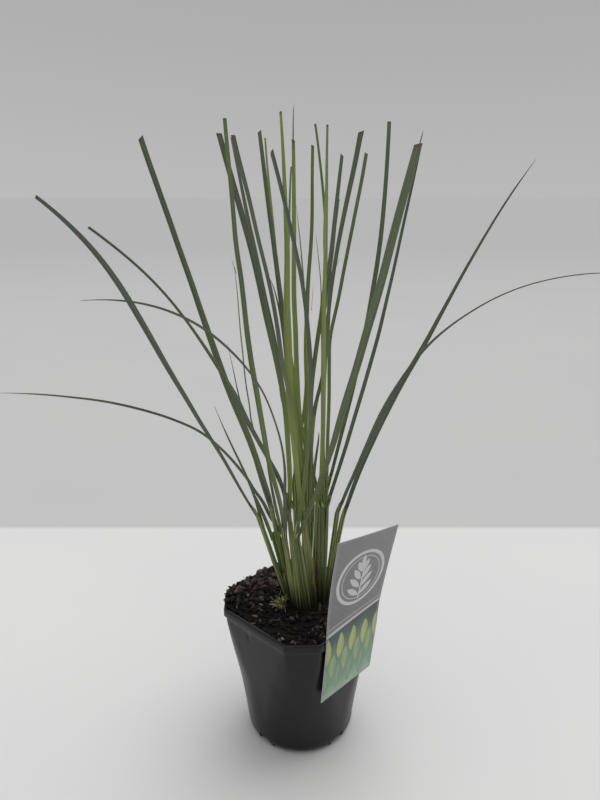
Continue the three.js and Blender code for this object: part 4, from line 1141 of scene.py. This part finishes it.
def curve_through(points, t):
    """Place and direction on the cubic curve through four points, as in the part"""
    start, first, second, end = [np.array(point, float) for point in points]
    leaving = (-5 * start + 18 * first - 9 * second + 2 * end) / 6
    arriving = (-5 * end + 18 * second - 9 * first + 2 * start) / 6
    t = np.asarray(t, float)[:, None]
    s = 1 - t
    place = s ** 3 * start + 3 * s * s * t * leaving + 3 * s * t * t * arriving + t ** 3 * end
    run = (leaving - start) * s * s + 2 * (arriving - leaving) * s * t + (end - arriving) * t * t
    return place, run / np.linalg.norm(run, axis=1, keepdims=True)


def curve_length(points, samples):
    """The length of the curve through four points"""
    places = curve_through(points, np.linspace(0, 1, samples))[0]
    return float(np.linalg.norm(np.diff(places, axis=0), axis=1).sum())


def strip_frame(tangent, degrees):
    """Across and out of a strip that runs along a tangent and faces a compass angle"""
    across = np.cross(compass(degrees), tangent)
    across /= np.linalg.norm(across)
    return across, np.cross(tangent, across)


def smooth_through(shares, values, t):
    """A smooth curve through values that are given at rising shares"""
    shares, values = np.asarray(shares, float), np.asarray(values, float)
    slopes = np.gradient(values, shares)
    t = np.clip(np.asarray(t, float), shares[0], shares[-1])
    index = np.clip(np.searchsorted(shares, t, side="right") - 1, 0, len(shares) - 2)
    span = shares[index + 1] - shares[index]
    s = (t - shares[index]) / span
    start, end = values[index], values[index + 1]
    leaving, arriving = slopes[index] * span, slopes[index + 1] * span
    return (start * (2 * s ** 3 - 3 * s ** 2 + 1) + leaving * (s ** 3 - 2 * s ** 2 + s)
            + end * (3 * s ** 2 - 2 * s ** 3) + arriving * (s ** 3 - s ** 2))


def bend_offsets(bends, ts):
    """How far a blade is off its smooth curve, as shifts to the right and up"""
    bends = {0: 0, 100: 0, **bends}
    percents = sorted(bends)
    shifts = [bends[p] if isinstance(bends[p], tuple) else (bends[p], 0) for p in percents]
    right, up = [smooth_through(np.array(percents) / 100, shift, ts) for shift in zip(*shifts)]
    return np.stack([right, np.zeros(len(ts)), up], axis=1)


def both_tones(tone):
    """The tones of a leaf's lower part and of its tip"""
    return tone if isinstance(tone, tuple) else (tone, tone)


class Stem:
    """The sheath of one stem, and its blades in the order that they leave it"""

    def __init__(self, number):
        self.foot, self.top, self.half, self.tone = STEMS[number - 1]
        blades = [blade for owner, *blade in BLADES if owner == number]
        self.facing = blades[0][2][0]
        self.across, self.out = strip_frame(np.array([0, 0, 1.0]), self.facing)
        self.blades = sorted(blades, key=lambda blade: blade[0][0][2])

    def size(self, z, inset):
        """Centre, half width and half depth of the sheath at a height"""
        along = (z - STEM_FOOT_Z) / (self.top[2] - STEM_FOOT_Z)
        bulge = math.sin(math.pi * clamp(along * 1.15))
        share = (z - SOIL_SIDE_TOP) / (self.top[2] - SOIL_SIDE_TOP)
        centre = np.array([*[lerp(self.foot[i], self.top[i], share) for i in range(2)], z])
        width = lerp(SHEATH_HALF, self.half + SHEATH_FULLER, bulge) - inset
        depth = lerp(SHEATH_DEPTH, SHEATH_MIDDLE_DEPTH, bulge) * lerp(1, 0.8, along) - inset
        return centre, max(width, LEAST_HALF_WIDTH), max(depth, LEAST_HALF_DEPTH)

    def wrap(self, face, centre, wide, deep, spread):
        """A row of a leaf round the stem, with a narrow slit where its margins meet"""
        beta = math.radians(face - self.facing) + math.pi + np.radians(LEAF_US * spread)
        loose = (1 + 0.07 * np.maximum(0.0, LEAF_US - 0.4))[:, None]
        return centre + loose * (self.out * deep * np.cos(beta)[:, None]
                                 - self.across * wide * np.sin(beta)[:, None])


def blade_steps(opening, length):
    """Lengths along a blade where it has a row of points, closer at its collar and its tip"""
    return np.concatenate([
        np.arange(0, opening - 3, 3.0),
        np.arange(opening - 3, opening + COLLAR_LENGTH + 2, 1.1),
        np.arange(opening + COLLAR_LENGTH + 3, length - 5, 4.5),
        length - np.array([4, 2.6, 1.4, 0.5, 0.0]),
    ])


def blade_widths(widths, steps, length, cut):
    """Widths of a blade at lengths along it, which run down to a fine point unless it is cut"""
    wides = smooth_through([0, 1 / 3, 2 / 3, 1], widths, steps / length)
    if cut:
        return wides
    narrowing = np.minimum(1, (length - steps) / POINT_LENGTH) ** 0.8
    return np.minimum(wides, POINT_WIDTH + (wides - POINT_WIDTH) * narrowing)


def make_leaf(shape, stem, order, rng):
    """One leaf: a sheath wrapped round the stem, which opens at its collar into a folded blade"""
    through, widths, face, cut, tone, bends = stem.blades[order]
    low_tone, tip_tone = both_tones(tone)
    start, top_z, last = through[0], stem.top[2], len(stem.blades) - 1
    inset = SHEATH_STEP * order
    length = curve_length(through, 40)
    collar_z = top_z - 1 - COLLAR_SPACING * (last - order) / max(1, last / 2)
    collar_z = max(collar_z, start[2] + 1.5)
    opening = (collar_z - start[2]) / max(0.3, curve_through(through, [0.01])[1][0][2])
    steps = blade_steps(opening, length)
    ts = steps / length
    places, runs = curve_through(through, ts)
    places = places + bend_offsets(bends, ts)
    turn = rng.uniform(-5, 5)
    slant = rng.uniform(-0.35, 0.35) if cut else 0.0
    phase = rng.uniform(0, 50)
    us, rows = LEAF_US, []
    fan = np.array(start, float) - stem.size(start[2], inset)[0]
    for z in np.arange(SOIL_SIDE_TOP - 5, start[2] - 1, SHEATH_ROW_STEP):
        centre, wide, deep = stem.size(z, inset)
        centre = centre + fan * clamp((z - SOIL_SIDE_TOP) / (start[2] - SOIL_SIDE_TOP)) ** 1.5
        rows.append((stem.wrap(face[0], centre, wide, deep, SHEATH_WRAP),
                     np.full(LEAF_POINTS, SHEATH_THICKNESS),
                     z - collar_z, length, z - SOIL_SIDE_TOP, low_tone))
    wides = blade_widths(widths, steps, length, cut)
    for step, t, place, run, wide in zip(steps, ts, places, runs, wides):
        across, out = strip_frame(run, lerp(face[0], face[1], t) + turn * math.sin(3 * t))
        sway = SWAY * min(1.0, step / 60)
        drift = sway * (across * wobble((step, phase, 0), 46) + out * wobble((step, phase, 9), 38))
        folded = BLADE_KEEL * wide * (1 + 0.35 * wobble((step, phase, 20), 70))
        depth = folded * np.sqrt(us * us + KEEL_ROUNDING) + 0.3
        row = place + drift + us[:, None] * (wide / 2) * across + depth[:, None] * out
        row = row + run * (slant * wide * us * clamp((step - length + 12) / 12))[:, None]
        opened = smoothstep(step, opening - 1.5, opening + COLLAR_LENGTH)
        if opened < 1:
            _, sheath_wide, deep = stem.size(min(place[2], top_z), inset)
            margin = us * us * smoothstep(step, opening - 1.5, opening + 2.5)
            spread = lerp(SHEATH_WRAP, COLLAR_WRAP, opened)
            closed = stem.wrap(face[0], place, sheath_wide, deep, spread)
            row = lerp(closed, row, lerp(opened, 1.0, margin * 0.55)[:, None])
        keel = MIDRIB_THICKNESS * np.exp(-(us / MIDRIB_WIDTH) ** 2) * opened * (1 - t)
        keel = keel * min(1.0, wide / 3)
        body = LEAF_THICKNESS * (1 - 0.62 * us * us) + keel
        rows.append((row, lerp(SHEATH_THICKNESS, body, opened) * min(1.0, wide / 1.2),
                     step - opening, length - step if cut else length, place[2] - SOIL_SIDE_TOP,
                     lerp(low_tone, tip_tone, smoothstep(step, 10, 170))))
    grid, thickness, *measures = [np.array(column) for column in zip(*rows)]
    along, left, foot, tones = [measure[:, None] for measure in measures]
    sheath = stem.tone + 0.12 * (order - last / 2)
    shape.sheet(grid, thickness, along=along, across=us, left=left, foot=foot, tone=tones,
                sheath=sheath, seed=rng.random(), dead=0.0)


def make_core(shape, stem, rng):
    """The innermost rolled leaf, which fills the sheath and ends in a point at its top"""
    top_z = stem.top[2]
    heights = [*np.arange(STEM_FOOT_Z, top_z - 12, 7.0), *[top_z + step for step in CORE_TOP]]
    rings = []
    for z in heights:
        centre, wide, deep = stem.size(z, SHEATH_STEP * len(stem.blades) + 0.1)
        shrink = lerp(0.12, 1.0, clamp((top_z + 1.5 - z) / 8))
        rings.append(centre + shrink * circle(stem.across * wide, stem.out * deep, CORE_SIDES))
    heights = np.repeat(heights, CORE_SIDES)
    across = [math.sin(4 * math.pi * side / CORE_SIDES) for side in range(CORE_SIDES)]
    shape.loft(rings, along=heights - top_z + 4, across=across * len(rings), left=UNCUT,
               foot=heights - SOIL_SIDE_TOP, tone=0.85, sheath=stem.tone, seed=rng.random(),
               dead=0.0)


def make_extra(shape, through, widths, face, kind, tone, rng):
    """A thin leaf, thread or strip that has no stem of its own"""
    length = curve_length(through, 30)
    ts = np.linspace(0, 1, max(8, int(length / 4)))
    places, runs = curve_through(through, ts)
    low_tone, tip_tone = both_tones(tone)
    us = np.linspace(-1, 1, 7)
    fold = SHEATH_FOLD if kind == "sheath" else BLADE_KEEL
    grid, thickness = [], []
    for t, place, run in zip(ts, places, runs):
        across, out = strip_frame(run, lerp(face[0], face[1], t))
        wide = lerp(*widths, t)
        if kind == "fine":
            wide *= math.sqrt(max(0.01, 1 - t ** 4))
        bowl = (us * us * wide * fold)[:, None] * out
        grid.append(place + us[:, None] * across * wide / 2 + bowl)
        thickness.append(min(0.26, wide * 0.3) * (1 - 0.5 * us * us))
    along = ts * length + (-length - 2 if kind == "sheath" else 40)
    shape.sheet(np.array(grid), np.array(thickness), along=along[:, None], across=us, left=UNCUT,
                foot=(places[:, 2] - SOIL_SIDE_TOP)[:, None],
                tone=lerp(low_tone, tip_tone, ts)[:, None], sheath=low_tone, seed=rng.random(),
                dead=1.0 if kind == "dry" else 0.0)


def make_tillers():
    paint = leaf_paint()
    rng = random.Random(SEED + 3)
    for number in range(1, len(STEMS) + 1):
        shape = Shape()
        stem = Stem(number)
        make_core(shape, stem, rng)
        for order in range(len(stem.blades)):
            make_leaf(shape, stem, order, rng)
        for owner, *extra in EXTRAS:
            if owner == number:
                make_extra(shape, *extra, rng)
        name = f"tiller_{number:02d}"
        shape.build(f"{name}_leaves", paint, name, "grass_leaf")


# Moss and stub

def make_moss():
    """A tuft of narrow pointed leaves with pale tips, on a core of crumbs"""
    rng = random.Random(SEED + 4)
    shape = Shape()
    ground = soil_height(*MOSS_PLACE)
    centre = np.array([*MOSS_PLACE, ground]) + MOSS_MIDDLE
    steps = np.linspace(0, 1, 8)
    for number in range(MOSS_LEAVES):
        rise = lerp(0.0, 0.98, (number * 0.618) % 1)
        heading = number * GOLDEN_ANGLE + rng.uniform(-20, 20)
        direction = compass(heading, math.sqrt(1 - rise * rise), rise)
        long = rng.random() < 0.12
        length = (rng.uniform(8, 10.5) if long else rng.uniform(3, 7.2)) * lerp(1.0, 0.9, rise)
        width = rng.uniform(0.5, 0.8) if long else rng.uniform(0.7, 1.25)
        bend = rng.uniform(-0.7, 1.0)
        root = compass(heading + 70, rng.uniform(0, 3.6))
        across = np.cross(direction, [0, 0, 1.0])
        across /= max(1e-6, np.linalg.norm(across))
        up = np.cross(across, direction)
        grid = []
        for t in steps:
            point = centre + root + direction * length * t + [0, 0, -bend * length * t * t * 0.5]
            wide = width * math.sin(math.pi * (0.12 + 0.86 * t)) ** 0.8
            grid.append([point + across * u * wide / 2 + up * abs(u) * wide * 0.3
                         for u in (-1, -0.5, 0, 0.5, 1)])
        shape.sheet(np.array(grid), MOSS_THICKNESS, along=steps[:, None] * (1.15 if long else 0.9),
                    tone=rng.uniform(-0.1, 1.0))
    for _ in range(MOSS_CRUMBS):
        points, faces = lump(rng.uniform(1.5, 3.2), rng)
        away = compass(rng.uniform(0, 360), rng.uniform(0, 4.6), ground + rng.uniform(-0.4, 2.2))
        away += MOSS_CRUMB_SHIFT
        shape.add(points + away + [*MOSS_PLACE, 0], faces, along=0.1, tone=rng.uniform(-0.3, 0.35))
    shape.build("moss_leaves", moss_paint(), "moss_tuft", "moss")


def make_stub():
    """The cut end of an old stem: a thin hollow tube with a split, ragged lip"""
    rng = random.Random(SEED + 5)
    bottom = soil_height(*STUB_PLACE) - STUB_DEPTH
    turns = [math.tau * side / STUB_SIDES for side in range(STUB_SIDES)]
    lengths = [STUB_DEPTH + STUB_HEIGHT + 0.8 * math.sin(3 * turn) + rng.uniform(-0.4, 0.5)
               for turn in turns]
    rings = []
    for share, radius in STUB_WALLS:
        ring = []
        for turn, length in zip(turns, lengths):
            reach = STUB_RADIUS * radius * (1 + 0.05 * math.cos(9 * turn))
            ring.append(compass(math.degrees(turn), reach, bottom + length * share))
        rings.append(ring)
    shape = Shape()
    along = np.repeat([share for share, _ in STUB_WALLS], STUB_SIDES)
    shape.loft(np.array(rings) + [*STUB_PLACE, 0], along=along)
    shape.build("old_stub_straw", stub_paint(), "old_stub", "dry_straw")


# Label

def card_row(z):
    """Reach, place along the side, facing and roll of the label at a height"""
    rows = np.array(LABEL_ROWS, float)
    samples = np.linspace(z - LABEL_SMOOTHING, z + LABEL_SMOOTHING, LABEL_SAMPLES)
    weights = np.hanning(LABEL_SAMPLES + 2)[1:-1]
    weights /= weights.sum()
    values = []
    for column in range(1, 5):
        slope_low = (rows[1, column] - rows[0, column]) / (rows[1, 0] - rows[0, 0])
        slope_high = (rows[-1, column] - rows[-2, column]) / (rows[-1, 0] - rows[-2, 0])
        at = np.interp(samples, rows[:, 0], rows[:, column])
        at += np.minimum(0, samples - rows[0, 0]) * slope_low
        at += np.maximum(0, samples - rows[-1, 0]) * slope_high
        values.append(float((at * weights).sum()))
    return values


def card_point(u, z):
    reach, along, facing, roll = card_row(z)
    middle = compass(LABEL_SIDE, reach, z) + along * compass(LABEL_SIDE + 90)
    across = compass(facing + 90, math.cos(math.radians(roll)), math.sin(math.radians(roll)))
    curl = LABEL_CURL * (math.cos(math.pi * u / LABEL_WIDTH) - 0.5)
    return middle + across * u + compass(facing) * curl * smoothstep(z, *LABEL_CURL_HEIGHTS)


def make_label():
    heights = np.linspace(LABEL_ROWS[0][0], LABEL_ROWS[-1][0], LABEL_GRID[0])
    us = np.linspace(-1, 1, LABEL_GRID[1])
    us = np.sign(us) * np.abs(us) ** 0.9 * LABEL_WIDTH / 2
    grid = np.array([[card_point(u, z) for u in us] for z in heights])
    gaps = np.linalg.norm(np.diff(grid[:, len(us) // 2], axis=0), axis=1)
    lengths = np.concatenate([[0], np.cumsum(gaps)])[:, None]
    shape = Shape()
    shape.sheet(grid, LABEL_THICKNESS, card_u=us, card_v=lengths * CARD_LENGTH / lengths[-1])
    front = np.repeat([1.0, 0.0], len(us))
    shape.values["front"] = [np.tile(front, len(heights))]
    add_tongue(shape)
    shape.build("label_sheet", card_paint(), "label", "label_card", sharp=40)


def add_tongue(shape):
    """The tongue goes from the card over the rim and down into the soil"""
    inner = SIDE_REACH - WALL - LABEL_THICKNESS
    path = [(inner - 1.2, TONGUE_END_Z), (inner - 0.3, 113), (inner, 120.2), (inner + 0.5, 121.2),
            (SIDE_REACH + 0.6, 121.4), (SIDE_REACH + 2.2, 123), (57.4, 129)]
    distances = np.linspace(0, len(path) - 1, TONGUE_GRID[0])
    us = np.linspace(-1, 1, TONGUE_GRID[1]) * TONGUE_WIDTH / 2
    grid = []
    for reach, z in zip(*[np.interp(distances, range(len(path)), column) for column in zip(*path)]):
        narrow = lerp(0.55, 1.0, clamp((z - TONGUE_END_Z) / 9))
        middle = compass(LABEL_SIDE, reach, z)
        grid.append([middle + compass(LABEL_SIDE + 90, TONGUE_SHIFT + u * narrow) for u in us])
    shape.sheet(np.array(grid), TONGUE_THICKNESS, card_u=0.0, card_v=0.0, front=0.0)


# Stage, light and camera

def make_floor():
    """A pale floor that turns a little greyer behind the object, like a studio cove"""
    paint = Paint("floor", 0.8, specular=0.1)
    place = paint.place()
    y = split(place)[1]
    mottle = paint.noise(place, 3, 2.0)
    near = paint.ramp(mottle, (0.3, (237, 237, 237)), (0.7, (240, 240, 239)))
    far = paint.ramp(mottle, (0.3, (211, 211, 211)), (0.7, (214, 214, 213)))
    far = paint.mix(y.step(*FAR_FADE), far, (197, 197, 197))
    paint.surface(paint.mix(y.step(*FLOOR_TURN), near, far))
    bpy.ops.mesh.primitive_circle_add(vertices=96, radius=STAGE_RADIUS, fill_type="NGON")
    floor = bpy.context.object
    floor.name = "floor"
    floor.data.materials.append(paint.material)


def make_world():
    """A soft room: brightest overhead and to the left, and darker in front"""
    world = bpy.data.worlds.new("studio")
    world.use_nodes = True
    tree = world.node_tree
    background = tree.nodes["Background"]
    x, y, z = split(add_node(tree, "TexCoord", {}).outputs["Generated"])
    level = y.step(-0.9, 0.6, 0.45, 1.0) + x.step(-1.0, 0.2, 0.05, 0.0)
    level = level * z.step(-0.05, 0.3, 0.855, 0.72) + z.step(0.35, 1.0, 0.0, 0.75)
    background.inputs["Color"].default_value = srgb(199, 199, 199)
    tree.links.new(level.socket, background.inputs["Strength"])
    bpy.context.scene.world = world


def make_sun():
    light = bpy.data.lights.new("sky", "SUN")
    light.angle = math.radians(SUN_SPREAD)
    light.energy = SUN_STRENGTH
    lamp = bpy.data.objects.new("sky", light)
    lamp.rotation_euler = (-Vector(SUN_FROM)).to_track_quat("-Z", "Y").to_euler()
    bpy.context.scene.collection.objects.link(lamp)


def make_camera():
    camera = bpy.data.objects.new("camera", bpy.data.cameras.new("camera"))
    camera.data.sensor_width = SENSOR_WIDTH
    camera.data.lens = CAMERA_LENS
    camera.location = Vector(CAMERA_PLACE) * MM
    camera.rotation_euler = (math.radians(90 - CAMERA_PITCH), 0, 0)
    bpy.context.scene.collection.objects.link(camera)
    bpy.context.scene.camera = camera


make_camera()
make_pot()
make_crumbs(make_soil())
make_chips()
make_fibres()
make_tillers()
make_moss()
make_stub()
make_label()
make_floor()
make_world()
make_sun()
